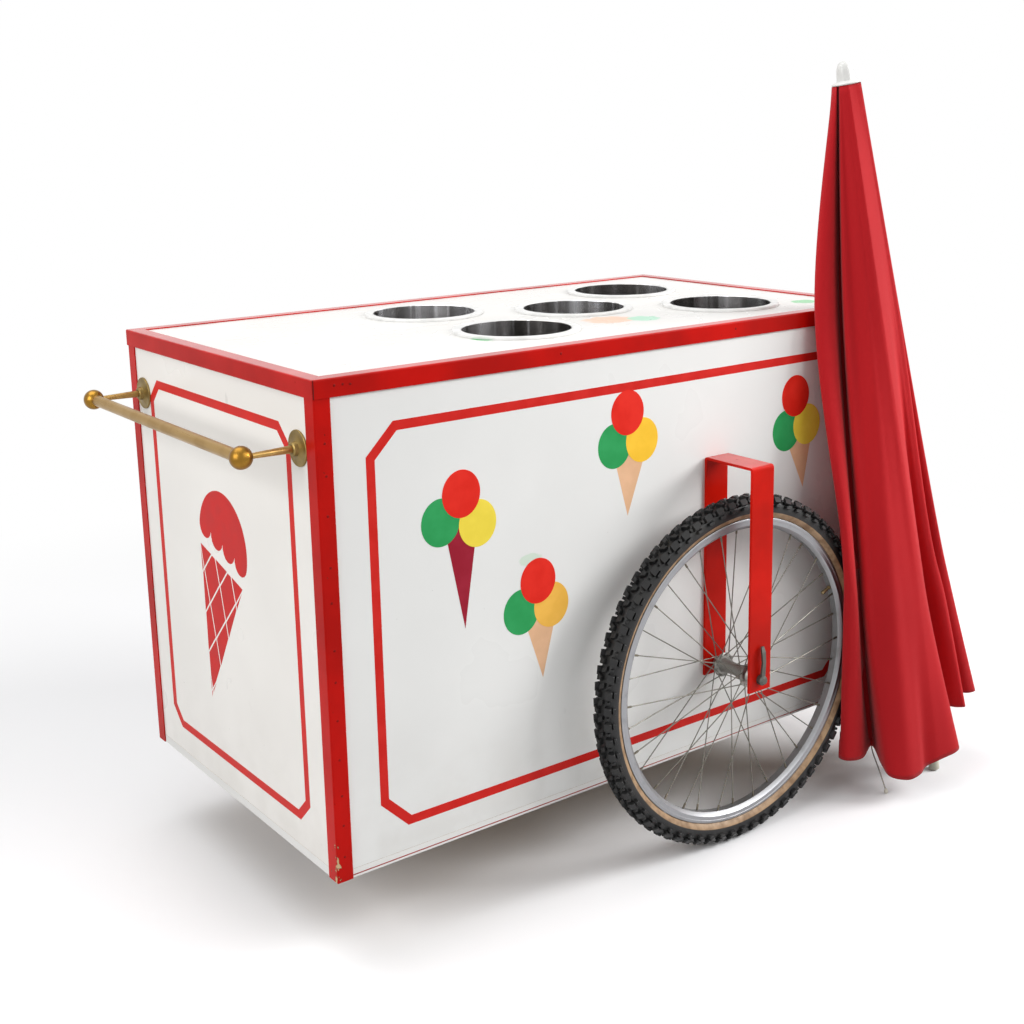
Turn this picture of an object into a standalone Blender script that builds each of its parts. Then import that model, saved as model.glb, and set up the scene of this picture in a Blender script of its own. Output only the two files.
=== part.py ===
"""Ice cream cart: a hollow box with five open wells, carried on two wire wheels and a swivel caster.

Metres, +Z up, +X along the cart away from the handle, +Y to the far side.
The cart is laid out from its handle end (x = 0), near side (y = 0) and the ground (z = 0), then the
whole cart is moved so that the origin lies on the ground under the middle of its outline.
"""

import math

import bmesh
import bpy
from mathutils import Matrix, Vector

# Box, over the lid's edge trims
box_length = 1.264
box_width = 0.707
lid_top = 0.968
underside = 0.163
side_thickness = 0.012
end_thickness = 0.012
floor_thickness = 0.015
lid_thickness = 0.024
seat_gap = 0.0003
cut_overrun = 0.010

# Edge angles
trim_face = 0.029
trim_flange = 0.026
trim_thickness = 0.002
trim_bend = 0.0025
post_flange = 0.028
post_thickness = 0.002
post_bend = 0.002
lid_overhang = 0.0015
mitre_gap = 0.0005

# Wells, placed from the front end
well_radius = 0.0975
well_depth = 0.250
well_wall = 0.0012
well_flange = 0.0105
well_pitch_x = 0.250
well_pitch_y = 0.150
wells_from_front = 0.494
hole_clearance = 0.004
ring_width = 0.0155
ring_height = 0.0045

# Wheels
wheel_radius = 0.332
wheel_from_front = 0.448
wheel_x = box_length - wheel_from_front
tyre_height = 0.043
tyre_width = 0.047
lug_height = 0.004
lug_count = 70
lug_taper_share = 0.16
crown_ahead_share = 0.5
rim_radius = wheel_radius - tyre_height
rim_depth = 0.0190
rim_width = 0.0270
rim_floor_width = 0.0150
hub_length = 0.104
hub_barrel_radius = 0.0130
hub_collar_radius = 0.0095
hub_flange_radius = 0.0230
hub_flange_thickness = 0.0050
hub_flange_spacing = 0.066
spoke_circle_radius = 0.0185
spoke_radius = 0.0011
spoke_rim_offset = 0.0036
spoke_lace_offset = 0.0013
spoke_count = 36
spoke_crossings = 3
axle_radius = 0.0050
bearing_clearance = 0.0007
tyre_seat_clearance = 0.0009

# Tyre section from bead to crown: half width and height above the bead, as shares of the tyre's own
carcass_shares = ((0.55, 0.0), (1.0, 0.44), (0.90, 0.76), (0.34, 1.0))

# Wheel brackets, folded from flat strap
bracket_depth = 0.120
bracket_width = 0.053
bracket_thickness = 0.005
bracket_headroom = 0.065
bracket_below_axle = 0.022
bracket_top = 2 * wheel_radius + bracket_headroom
bracket_foot = wheel_radius - bracket_below_axle
bracket_bend = 0.006
bracket_inner_bend = 0.0012
axle_hole_clearance = 0.0004

# Quick release
release_nut_radius = 0.0095
release_nose_radius = 0.0058
release_nut_length = 0.013
release_nose_length = 0.005
release_lever_length = 0.064
release_lever_width = 0.0100
release_lever_thickness = 0.0045
release_lever_lean = 0.004
release_lever_stand = 0.0033

# Lever from its root to its tip: place along it, then width and thickness, as shares of its own
lever_shares = ((0.08, 1.0), (0.55, 0.8), (0.85, 0.9), (1.0, 0.6))

# Handle
handle_drop = 0.111
handle_inset = 0.0595
handle_reach = 0.0905
handle_rail_radius = 0.0098
handle_ball_radius = 0.0178
post_root_radius = 0.0062
post_tip_radius = 0.0042
socket_depth = 0.009
rosette_radius = 0.0285
rosette_neck_radius = 0.0170
rosette_depth = 0.013
rosette_step = 0.008
rosette_edge = 0.003
ball_cap_turn = 67.5

# Caster, under the handle end
caster_x = 0.225
caster_trail = 0.034
caster_wheel_radius = 0.0625
caster_wheel_width = 0.030
caster_web = 0.0135
caster_tread_depth = 0.010
caster_tread_round = 0.002
caster_hub_radius = 0.016
caster_plate_size = 0.088
caster_plate_thickness = 0.004
caster_race_radius = 0.026
caster_race_foot_radius = 0.021
caster_race_height = 0.010
caster_race_chamfer = 0.004
caster_fork_thickness = 0.003
caster_fork_width = 0.034
caster_side_clearance = 0.005
caster_axle_radius = 0.004
caster_crown_height = 0.010
caster_pin_radius = 0.006

# Parasol: foot and top of its pole, leaning on the lid's near edge
parasol_foot_ahead = 0.0695
parasol_foot_out = 0.119
parasol_foot_lift = 0.002
parasol_top_back = 0.1485
parasol_top_out = 0.0105
parasol_height = 1.4225
pole_radius = 0.0110
cap_radius = 0.0170
cap_shoulder_radius = 0.0150
cap_crown_radius = 0.0085
cap_flange_radius = 0.0268
cap_height = 0.042
cap_flange_height = 0.005
cap_crown_height = 0.009
canopy_hem = 0.050
canopy_spread = 0.200
canopy_bore_clearance = 0.0010
canopy_wheel_clearance = 0.0055

# Furled cloth: each fold's hem height as a share of the lowest hem, then its places round the pole as
# shares of the spread, forward and outward, at the hem, the two heights below, the lid's edge and the neck
canopy_height_shares = (0.372, 0.558)
fold_shares = (
    (1.70, (-1.18, -0.18), (-1.04, -0.01), (-0.97, 0.06), (-0.67, -0.15), (-0.110, -0.060)),
    (1.70, (-1.17, -0.07), (-1.02, 0.07), (-0.95, 0.13), (-0.65, -0.07), (-0.125, -0.020)),
    (1.56, (-0.75, -0.13), (-0.78, 0.05), (-0.69, 0.05), (-0.37, -0.05), (-0.127, 0.010)),
    (1.10, (-0.88, 0.19), (-0.78, 0.18), (-0.69, 0.18), (-0.38, 0.08), (-0.120, 0.040)),
    (1.00, (-0.78, 0.34), (-0.68, 0.33), (-0.60, 0.31), (-0.37, 0.20), (-0.110, 0.060)),
    (1.24, (-0.51, 0.35), (-0.43, 0.38), (-0.39, 0.36), (-0.30, 0.28), (-0.095, 0.090)),
    (1.76, (-0.11, 0.46), (-0.21, 0.37), (-0.24, 0.35), (-0.24, 0.29), (-0.080, 0.100)),
    (2.50, (0.30, 0.04), (0.13, 0.14), (0.08, 0.12), (0.03, 0.21), (-0.010, 0.127)),
    (2.56, (0.45, 0.13), (0.35, 0.13), (0.24, 0.12), (0.14, 0.16), (0.040, 0.120)),
    (2.74, (0.73, 0.05), (0.53, 0.07), (0.39, 0.10), (0.22, 0.10), (0.100, 0.080)),
    (2.60, (0.77, -0.21), (0.53, -0.13), (0.40, -0.08), (0.22, -0.05), (0.127, -0.005)),
    (2.40, (0.50, -0.50), (0.32, -0.35), (0.23, -0.27), (0.17, -0.24), (0.090, -0.090)),
    (2.20, (0.01, -0.52), (-0.04, -0.37), (-0.08, -0.27), (0.00, -0.26), (0.030, -0.124)),
    (2.00, (-0.45, -0.40), (-0.40, -0.17), (-0.38, -0.12), (-0.16, -0.25), (-0.030, -0.125)),
    (1.70, (-0.90, -0.26), (-0.86, 0.02), (-0.77, 0.03), (-0.48, -0.20), (-0.080, -0.100)),
)

# Fineness
round_segments = 20
small_segments = 12
rim_segments = 36
bend_segments = 3
ball_segments = 4
canopy_ring_steps = 3
fold_steps = 2
spoke_sides = 4


# Shared means

def material(name, colour, roughness, metallic=0.0):
    made = bpy.data.materials.new(name)
    made.use_nodes = True
    shader = made.node_tree.nodes["Principled BSDF"]
    shader.inputs["Base Color"].default_value = (*colour, 1.0)
    shader.inputs["Roughness"].default_value = roughness
    shader.inputs["Metallic"].default_value = metallic
    made.diffuse_color = (*colour, 1.0)
    return made


def empty(name, parent, place, matrix=None):
    made = bpy.data.objects.new(name, None)
    bpy.context.scene.collection.objects.link(made)
    made.parent = parent
    if matrix is not None:
        made.matrix_local = matrix
    made.location = place
    return made


def piece(name, mesh, finish, parent, place=(0, 0, 0)):
    """An object from a bmesh, with its faces turned outward and its round parts shaded smooth."""
    bmesh.ops.recalc_face_normals(mesh, faces=mesh.faces)
    data = bpy.data.meshes.new(name)
    mesh.to_mesh(data)
    mesh.free()
    data.shade_smooth()
    data.set_sharp_from_angle(angle=math.radians(35))
    data.materials.append(finish)
    made = bpy.data.objects.new(name, data)
    bpy.context.scene.collection.objects.link(made)
    made.parent = parent
    made.location = place
    return made


def cutter(name, mesh, parent, place=(0, 0, 0)):
    made = piece(name, mesh, guide_finish, parent, place)
    made.hide_render = True
    made.display_type = "WIRE"
    return made


def boolean(target, tool, operation="DIFFERENCE"):
    step = target.modifiers.new(tool.name, "BOOLEAN")
    step.operation = operation
    step.solver = "EXACT"
    step.object = tool


def block(low, high):
    mesh = bmesh.new()
    size = Vector(high) - Vector(low)
    middle = (Vector(high) + Vector(low)) / 2
    bmesh.ops.create_cube(mesh, size=1, matrix=Matrix.Translation(middle) @ Matrix.Diagonal((*size, 1)))
    return mesh


def skin(mesh, rings, closed):
    """Quads between following rings of equal count; closed joins the last ring to the first."""
    count = len(rings[0])
    pairs = list(zip(rings, rings[1:]))
    if closed:
        pairs.append((rings[-1], rings[0]))
    for lower, upper in pairs:
        for i in range(count):
            j = (i + 1) % count
            mesh.faces.new((lower[i], lower[j], upper[j], upper[i]))


def loft(loops):
    """Skin rings of equal count, with a face over each end."""
    mesh = bmesh.new()
    rings = [[mesh.verts.new(point) for point in loop] for loop in loops]
    skin(mesh, rings, closed=False)
    mesh.faces.new(rings[0])
    mesh.faces.new(rings[-1])
    return mesh


AXES = {
    "X": lambda radial, turn, along: (along, radial * math.cos(turn), radial * math.sin(turn)),
    "Y": lambda radial, turn, along: (radial * math.cos(turn), along, radial * math.sin(turn)),
    "Z": lambda radial, turn, along: (radial * math.cos(turn), radial * math.sin(turn), along),
}


def turned(outline, axis="Z", segments=round_segments):
    """Turn an outline of (radius, place along the axis); a radius of zero closes it on the axis."""
    mesh = bmesh.new()
    place = AXES[axis]
    rings = []
    for radius, along in outline:
        if radius == 0:
            rings.append([mesh.verts.new(place(0, 0, along))])
            continue
        turns = [2 * math.pi * i / segments for i in range(segments)]
        rings.append([mesh.verts.new(place(radius, turn, along)) for turn in turns])
    touches_axis = outline[0][0] == 0
    pairs = list(zip(rings, rings[1:]))
    if not touches_axis:
        pairs.append((rings[-1], rings[0]))
    for first, second in pairs:
        for i in range(segments):
            j = (i + 1) % segments
            if len(first) == 1:
                mesh.faces.new((first[0], second[j], second[i]))
            elif len(second) == 1:
                mesh.faces.new((first[i], first[j], second[0]))
            else:
                mesh.faces.new((first[i], first[j], second[j], second[i]))
    return mesh


def rod(radius, start, end, axis="Z", segments=small_segments):
    return turned([(0, start), (radius, start), (radius, end), (0, end)], axis, segments)


def arc(centre_u, centre_v, radius, start, end, steps):
    """Points on an arc from one angle to another, in degrees."""
    points = []
    for i in range(steps + 1):
        turn = math.radians(start + (end - start) * i / steps)
        points.append((centre_u + radius * math.cos(turn), centre_v + radius * math.sin(turn)))
    return points


def angle_section(face_a, face_b, thickness, bend):
    """An angle's section with its outer corner at zero, both flanges running towards plus."""
    corner = arc(bend, bend, bend, 270, 180, bend_segments)
    inside = [(thickness, face_b), (thickness, thickness), (face_a, thickness)]
    return corner + [(0, face_b)] + inside + [(face_a, 0)]


def bar(start, end, radius):
    """A thin straight bar between two points."""
    start = Vector(start)
    end = Vector(end)
    along = (end - start).normalized()
    across = along.orthogonal().normalized()
    other = along.cross(across)
    turns = [2 * math.pi * i / spoke_sides for i in range(spoke_sides)]
    spread = [radius * (across * math.cos(turn) + other * math.sin(turn)) for turn in turns]
    return loft([[centre + offset for offset in spread] for centre in (start, end)])


def joined(meshes):
    """Several separate bodies in one bmesh."""
    whole = bmesh.new()
    for mesh in meshes:
        data = bpy.data.meshes.new("part")
        mesh.to_mesh(data)
        mesh.free()
        whole.from_mesh(data)
        bpy.data.meshes.remove(data)
    return whole


def on_spline(points, index, share, closed=False):
    """A point on a smooth curve through the given ones, at a share of the way after point index."""
    count = len(points)

    def at(i):
        return points[i % count] if closed else points[min(max(i, 0), count - 1)]

    before, start, end, after = at(index - 1), at(index), at(index + 1), at(index + 2)
    square = share * share
    cube = square * share
    bend = (end - before) * share + (2 * before - 5 * start + 4 * end - after) * square
    return start + (bend + (3 * start - before - 3 * end + after) * cube) / 2


# Box panels and edge angles

post_outer = lid_overhang
panel_outer = post_outer + post_thickness + seat_gap
lid_bottom = lid_top - trim_face
lid_board_top = lid_top - trim_thickness - seat_gap
lid_board_bottom = lid_board_top - lid_thickness
wall_top = lid_board_bottom - seat_gap
floor_top = underside + floor_thickness
post_top = lid_bottom - seat_gap
near_wall = panel_outer - seat_gap
far_wall = box_width - near_wall


def make_panels(root):
    side_start = panel_outer
    side_end = box_length - panel_outer
    inner_y = panel_outer + side_thickness + seat_gap
    for name, low_y in (("side_panel_near", panel_outer),
                        ("side_panel_far", box_width - panel_outer - side_thickness)):
        low = (side_start, low_y, floor_top + seat_gap)
        high = (side_end, low_y + side_thickness, wall_top)
        piece(name, block(low, high), white_board, root)
    for name, low_x in (("end_panel_handle", panel_outer),
                        ("end_panel_front", box_length - panel_outer - end_thickness)):
        low = (low_x, inner_y, floor_top + seat_gap)
        high = (low_x + end_thickness, box_width - inner_y, wall_top)
        piece(name, block(low, high), white_board, root)
    low = (panel_outer, panel_outer, underside)
    high = (box_length - panel_outer, box_width - panel_outer, floor_top)
    piece("floor_panel", block(low, high), plain_board, root)


def well_places():
    middle_x = box_length - wells_from_front
    middle_y = box_width / 2
    return [(middle_x + i * well_pitch_x, middle_y + j * well_pitch_y)
            for i, j in ((-1, -1), (-1, 1), (0, 0), (1, -1), (1, 1))]


def make_lid(root):
    inset = trim_thickness + seat_gap
    low = (inset, inset, lid_board_bottom)
    high = (box_length - inset, box_width - inset, lid_board_top)
    lid = piece("lid_panel", block(low, high), white_board, root)
    start = lid_board_bottom - cut_overrun
    end = lid_board_top + cut_overrun
    for index, (x, y) in enumerate(well_places(), 1):
        bore = rod(well_radius + hole_clearance, start, end, "Z", round_segments)
        boolean(lid, cutter("hole_%d" % index, bore, root, (x, y, 0)))


def make_wells(root):
    """Steel cups hung in the lid by their flanges, with a white ring round each mouth."""
    flange_bottom = lid_board_top + seat_gap
    flange_top = flange_bottom + well_wall
    outer = well_radius + well_wall
    flange_outer = outer + well_flange
    bottom = flange_top - well_depth
    ring_bore = flange_outer + seat_gap
    ring_outer = outer + ring_width + seat_gap
    ring_under = flange_top + seat_gap
    ring_top = flange_bottom + ring_height
    ring_round = (ring_top - ring_under) / 2
    cup = [(0, bottom + well_wall), (well_radius, bottom + well_wall), (well_radius, flange_top),
           (flange_outer, flange_top), (flange_outer, flange_bottom), (outer, flange_bottom),
           (outer, bottom), (0, bottom)]
    ring = [(well_radius, ring_under), (well_radius + ring_round, ring_top),
            (ring_outer - ring_round, ring_top), (ring_outer, flange_bottom),
            (ring_bore, flange_bottom), (ring_bore, ring_under)]
    for index, (x, y) in enumerate(well_places(), 1):
        piece("well_liner_%d" % index, turned(cup), steel, root, (x, y, 0))
        piece("well_ring_%d" % index, turned(ring), ring_white, root, (x, y, 0))


def make_posts(root):
    section = angle_section(post_flange, post_flange, post_thickness, post_bend)
    for name, x, y, turn_x, turn_y in (
            ("corner_post_near_handle", post_outer, post_outer, 1, 1),
            ("corner_post_near_front", box_length - post_outer, post_outer, -1, 1),
            ("corner_post_far_handle", post_outer, box_width - post_outer, 1, -1),
            ("corner_post_far_front", box_length - post_outer, box_width - post_outer, -1, -1)):
        loops = [[(u * turn_x, v * turn_y, z) for u, v in section] for z in (underside, post_top)]
        piece(name, loft(loops), red_paint, root, (x, y, 0))


def make_trims(root):
    """Lid edge angles, mitred where they meet at the corners."""
    section = angle_section(trim_flange, trim_face, trim_thickness, trim_bend)
    gap = mitre_gap / 2
    for name, length, turn, place in (
            ("lid_trim_near", box_length, 0, (0, 0, lid_top)),
            ("lid_trim_far", box_length, 180, (box_length, box_width, lid_top)),
            ("lid_trim_handle", box_width, -90, (0, box_width, lid_top)),
            ("lid_trim_front", box_width, 90, (box_length, 0, lid_top))):
        start = [(u + gap, u, -v) for u, v in section]
        end = [(length - u - gap, u, -v) for u, v in section]
        made = piece(name, loft([start, end]), red_paint, root, place)
        made.rotation_euler.z = math.radians(turn)


# Handle

def make_handle(root):
    """A brass rail held between two balls, each on a tapered post from a rosette on the wall."""
    height = lid_top - handle_drop
    near_y = handle_inset
    far_y = box_width - handle_inset
    socket_floor = handle_ball_radius - socket_depth
    socket_mouth = handle_ball_radius + cut_overrun
    rail_end = socket_floor + seat_gap
    rail = rod(handle_rail_radius, near_y + rail_end, far_y - rail_end, "Y")
    piece("handle_rail", rail, brass, root, (-handle_reach, 0, height))
    ball_outline = [(0, -handle_ball_radius)]
    ball_outline += arc(0, 0, handle_ball_radius, -ball_cap_turn, ball_cap_turn, ball_segments)
    ball_outline.append((0, handle_ball_radius))
    tip = -handle_reach + rail_end
    foot = near_wall - seat_gap
    swell = near_wall - rosette_depth
    post_outline = [(0, tip), (post_tip_radius, tip), (post_root_radius, swell),
                    (post_root_radius, foot), (0, foot)]
    bore = post_root_radius + seat_gap
    rosette_outline = [(bore, near_wall), (rosette_radius, near_wall),
                       (rosette_radius, near_wall - rosette_edge),
                       (rosette_neck_radius, near_wall - rosette_step),
                       (bore + rosette_edge, swell), (bore, swell)]
    for side, y, inward in (("near", near_y, 1), ("far", far_y, -1)):
        centre = (-handle_reach, y, height)
        root_place = (0, y, height)
        ball = piece("handle_ball_%s" % side, turned(ball_outline, "X", small_segments), brass, root, centre)
        socket = sorted((socket_floor * inward, socket_mouth * inward))
        rail_socket = rod(handle_rail_radius + seat_gap, *socket, "Y")
        post_socket = rod(post_tip_radius + seat_gap, socket_floor, socket_mouth, "X")
        boolean(ball, cutter("rail_socket_%s" % side, rail_socket, root, centre))
        boolean(ball, cutter("post_socket_%s" % side, post_socket, root, centre))
        post = turned(post_outline, "X", small_segments)
        piece("handle_post_%s" % side, post, brass, root, root_place)
        piece("handle_rosette_%s" % side, turned(rosette_outline, "X"), brass, root, root_place)


# Wheels

def tyre_mesh():
    """A carcass turned about Y, with three rows of tapered lugs whose middle row runs half a pitch ahead."""
    bead_radius = rim_radius + tyre_seat_clearance
    height = wheel_radius - lug_height - bead_radius
    half = tyre_width / 2 - lug_height / 2
    side = [(half * wide, bead_radius + height * high) for wide, high in carcass_shares]
    outline = [(radius, along) for along, radius in side]
    outline += [(radius, -along) for along, radius in reversed(side)]
    count = len(outline)
    crown = (len(side) - 1, len(side))
    pitch = 2 * math.pi / lug_count
    mesh = bmesh.new()
    rings = []
    for step in range(lug_count):
        turns = [pitch * (step + (crown_ahead_share if i in crown else 0)) for i in range(count)]
        rings.append([mesh.verts.new(AXES["Y"](radius, turn, along))
                      for (radius, along), turn in zip(outline, turns)])
    skin(mesh, rings, closed=True)
    bmesh.ops.recalc_face_normals(mesh, faces=mesh.faces)
    shoulder = side[-2][0]
    lugs = [face for face in mesh.faces
            if face.calc_center_median().xz.length > side[-2][1]
            and abs(face.calc_center_median().y) < shoulder]
    raised = bmesh.ops.extrude_discrete_faces(mesh, faces=lugs)["faces"]
    for face in raised:
        centre = face.calc_center_median()
        outward = Vector((centre.x, 0, centre.z)).normalized()
        for vert in face.verts:
            vert.co += (centre - vert.co) * lug_taper_share
        lift = min(lug_height, wheel_radius - max(vert.co.xz.length for vert in face.verts))
        for vert in face.verts:
            vert.co += outward * lift
    return mesh


def rim_outline():
    """A box section rim, flat outside and narrowing to its inner face."""
    half = rim_width / 2
    inner = rim_radius - rim_depth
    floor_half = rim_floor_width / 2
    cheek = (rim_radius + inner) / 2
    return [(rim_radius, -half), (rim_radius, half), (cheek, half), (inner, floor_half),
            (inner, -floor_half), (cheek, -half)]


def hub_outline():
    """Hub shell from its inner end to its outer end, open along the axle."""
    bore = axle_radius + bearing_clearance
    end = hub_length / 2
    flange = hub_flange_spacing / 2
    lip = hub_flange_thickness / 2
    half = [(bore, end), (hub_collar_radius, end), (hub_barrel_radius, flange + lip),
            (hub_flange_radius, flange + lip), (hub_flange_radius, flange - lip),
            (hub_barrel_radius, flange - lip)]
    return half + [(radius, -along) for radius, along in reversed(half)]


def spoke_meshes():
    """Laced spokes: each leaves its flange on a slant and passes the opposite slant on its outer side."""
    per_flange = spoke_count // 2
    hub_step = 2 * math.pi / per_flange
    sweep = spoke_crossings * hub_step
    lace_half = hub_flange_thickness / 2
    rim_end = rim_radius - rim_depth + spoke_radius
    bars = []
    for side in (-1, 1):
        for index in range(per_flange):
            slant = 1 if index % 2 else -1
            start_turn = hub_step * index + (hub_step / 2 if side > 0 else 0)
            end_turn = start_turn + slant * sweep
            start_along = side * (hub_flange_spacing / 2 + slant * lace_half)
            end_along = side * (spoke_rim_offset + slant * spoke_lace_offset)
            start = AXES["Y"](spoke_circle_radius, start_turn, start_along)
            end = AXES["Y"](rim_end, end_turn, end_along)
            bars.append(bar(start, end, spoke_radius))
    return bars


def make_wheel(side, y, root):
    spin = empty("wheel_%s_axis" % side, root, (wheel_x, y, wheel_radius))
    piece("tyre_%s" % side, tyre_mesh(), tyre_rubber, spin)
    wheel = piece("wire_wheel_%s" % side, turned(rim_outline(), "Y", rim_segments), aluminium, spin)
    hub = cutter("hub_form_%s" % side, turned(hub_outline(), "Y", small_segments), spin)
    spokes = cutter("spoke_form_%s" % side, joined(spoke_meshes()), spin)
    boolean(wheel, spokes, "UNION")
    boolean(wheel, hub, "UNION")


def bracket_outline():
    """The strap's section in (y, z): up the wall, across and down outside the wheel, with rounded folds."""
    depth = bracket_depth
    outer = bracket_bend
    inner = bracket_inner_bend
    wall = bracket_thickness
    points = [(0, bracket_foot)]
    points += arc(-outer, bracket_top - outer, outer, 0, 90, bend_segments)
    points += arc(-depth + outer, bracket_top - outer, outer, 90, 180, bend_segments)
    points += [(-depth, bracket_foot), (-depth + wall, bracket_foot)]
    points += arc(-depth + wall + inner, bracket_top - wall - inner, inner, 180, 90, bend_segments)
    points += arc(-wall - inner, bracket_top - wall - inner, inner, 90, 0, bend_segments)
    points.append((-wall, bracket_foot))
    return points


def make_bracket(side, wall_y, outward, root):
    """The folded strap, its axle and quick release; outward is -1 on the near side and 1 on the far side."""
    half = bracket_width / 2
    loops = [[(x, -outward * u, z) for u, z in bracket_outline()] for x in (-half, half)]
    strap = piece("bracket_%s" % side, loft(loops), bracket_red, root, (wheel_x, wall_y, 0))
    centre = (wheel_x, wall_y, wheel_radius)
    reach = sorted((-outward * cut_overrun, outward * (bracket_depth + cut_overrun)))
    hole = rod(axle_radius + axle_hole_clearance, *reach, "Y")
    boolean(strap, cutter("axle_hole_%s" % side, hole, root, centre))
    axle_end = bracket_depth + release_nut_length - release_nose_length
    axle = rod(axle_radius, *sorted((0, outward * axle_end)), "Y")
    piece("axle_%s" % side, axle, dark_metal, root, centre)
    make_release(side, wall_y + outward * (bracket_depth + seat_gap), outward, root)


def make_release(side, face_y, outward, root):
    """A cam nut over the axle's end with its lever folded up along the strap."""
    bore = axle_radius + seat_gap
    shoulder = release_nut_length - release_nose_length
    outline = [(0, shoulder + seat_gap), (bore, shoulder + seat_gap), (bore, 0), (release_nut_radius, 0),
               (release_nut_radius, shoulder), (release_nose_radius, release_nut_length),
               (0, release_nut_length)]
    outline = [(radius, along * outward) for radius, along in outline]
    place = (wheel_x, face_y, wheel_radius)
    nut = piece("quick_release_%s" % side, turned(outline, "Y", small_segments), dark_metal, root, place)
    loops = []
    for along_share, size_share in lever_shares:
        height = release_lever_length * along_share
        back = release_lever_stand + release_lever_lean * math.sin(math.pi * along_share)
        front = back + release_lever_thickness * size_share
        half = release_lever_width / 2 * size_share
        loops.append([(-half, outward * back, height), (half, outward * back, height),
                      (half, outward * front, height), (-half, outward * front, height)])
    lever = cutter("lever_form_%s" % side, loft(loops), root, place)
    boolean(nut, lever, "UNION")


# Caster

def caster_wheel_outline():
    wide = caster_wheel_width / 2
    web = caster_web / 2
    tread_inner = caster_wheel_radius - caster_tread_depth
    shoulder = caster_wheel_radius - caster_tread_round
    bore = caster_axle_radius + bearing_clearance
    half = [(bore, wide), (caster_hub_radius, wide), (caster_hub_radius, web), (tread_inner, web),
            (tread_inner, wide), (shoulder, wide), (caster_wheel_radius, web)]
    return half + [(radius, -along) for radius, along in reversed(half)]


def make_caster(root):
    """A swivel caster: plate with its ball race, fork with its axle, and a rubber wheel."""
    middle_y = box_width / 2
    plate_top = underside - seat_gap
    plate_bottom = plate_top - caster_plate_thickness
    half = caster_plate_size / 2
    place = (caster_x, middle_y, 0)
    plate = block((-half, -half, plate_bottom), (half, half, plate_top))
    plate_piece = piece("caster_plate", plate, zinc, root, place)
    race_top = plate_bottom + caster_plate_thickness / 2
    race_bottom = plate_bottom - caster_race_height
    crown_top = race_bottom - seat_gap
    crown_bottom = crown_top - caster_crown_height
    pin_bottom = crown_bottom - caster_fork_thickness
    race = [(0, race_top), (caster_race_radius, race_top),
            (caster_race_radius, race_bottom + caster_race_chamfer),
            (caster_race_foot_radius, race_bottom), (caster_pin_radius, race_bottom),
            (caster_pin_radius, pin_bottom), (0, pin_bottom)]
    race_form = turned(race, "Z", small_segments)
    boolean(plate_piece, cutter("race_form", race_form, root, place), "UNION")

    swivel = empty("caster_swivel_axis", root, place)
    gap_half = caster_wheel_width / 2 + caster_side_clearance
    crown_half = gap_half + caster_fork_thickness
    pin_hole = caster_pin_radius + bearing_clearance
    crown = [(pin_hole, crown_bottom), (caster_race_radius, crown_bottom),
             (caster_race_radius, crown_top), (pin_hole, crown_top)]
    fork = piece("caster_fork", turned(crown, "Z", small_segments), zinc, swivel)
    leg_half = caster_fork_width / 2
    eye = caster_axle_radius + caster_fork_thickness * 2
    for index, low_y in enumerate((-crown_half, gap_half)):
        outline = [(leg_half, crown_top - seat_gap), (-leg_half, crown_top - seat_gap),
                   (-caster_trail - eye, caster_wheel_radius)]
        outline += arc(-caster_trail, caster_wheel_radius, eye, 180, 360, bend_segments)[1:]
        loops = [[(x, y, z) for x, z in outline] for y in (low_y, low_y + caster_fork_thickness)]
        boolean(fork, cutter("fork_leg_%d" % index, loft(loops), swivel), "UNION")
    bridge = block((-leg_half, -crown_half + seat_gap, crown_bottom + seat_gap),
                   (leg_half, crown_half - seat_gap, crown_top - 2 * seat_gap))
    boolean(fork, cutter("fork_bridge", bridge, swivel), "UNION")
    pin_room = rod(pin_hole, crown_bottom - cut_overrun, crown_top + cut_overrun)
    boolean(fork, cutter("fork_pin_room", pin_room, swivel))
    axle_end = crown_half + caster_fork_thickness
    axle = rod(caster_axle_radius, -axle_end, axle_end, "Y")
    axle_place = (-caster_trail, 0, caster_wheel_radius)
    boolean(fork, cutter("caster_axle_form", axle, swivel, axle_place), "UNION")

    spin = empty("caster_wheel_axis", swivel, axle_place)
    wheel = turned(caster_wheel_outline(), "Y", small_segments)
    piece("caster_wheel", wheel, grey_rubber, spin)


# Parasol

parasol_foot = Vector((box_length + parasol_foot_ahead, -parasol_foot_out, parasol_foot_lift))
parasol_top = Vector((box_length - parasol_top_back, -parasol_top_out, parasol_height))
parasol_along = (parasol_top - parasol_foot).normalized()
pole_length = (parasol_top - parasol_foot).length


def pole_at(height):
    """The pole's middle at a height."""
    return parasol_foot + parasol_along * ((height - parasol_foot.z) / parasol_along.z)


def kept_clear(point):
    """Cloth lies against the lid's edge and keeps outside the tyre's path."""
    if point.z <= lid_top + seat_gap and point.x <= box_length:
        point.y = min(point.y, -seat_gap)
    reach = wheel_radius + canopy_wheel_clearance
    tyre_face = near_wall - bracket_depth / 2 - tyre_width / 2
    if math.hypot(point.x - wheel_x, point.z - wheel_radius) < reach:
        point.y = min(point.y, tyre_face - canopy_wheel_clearance)
    return point


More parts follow.
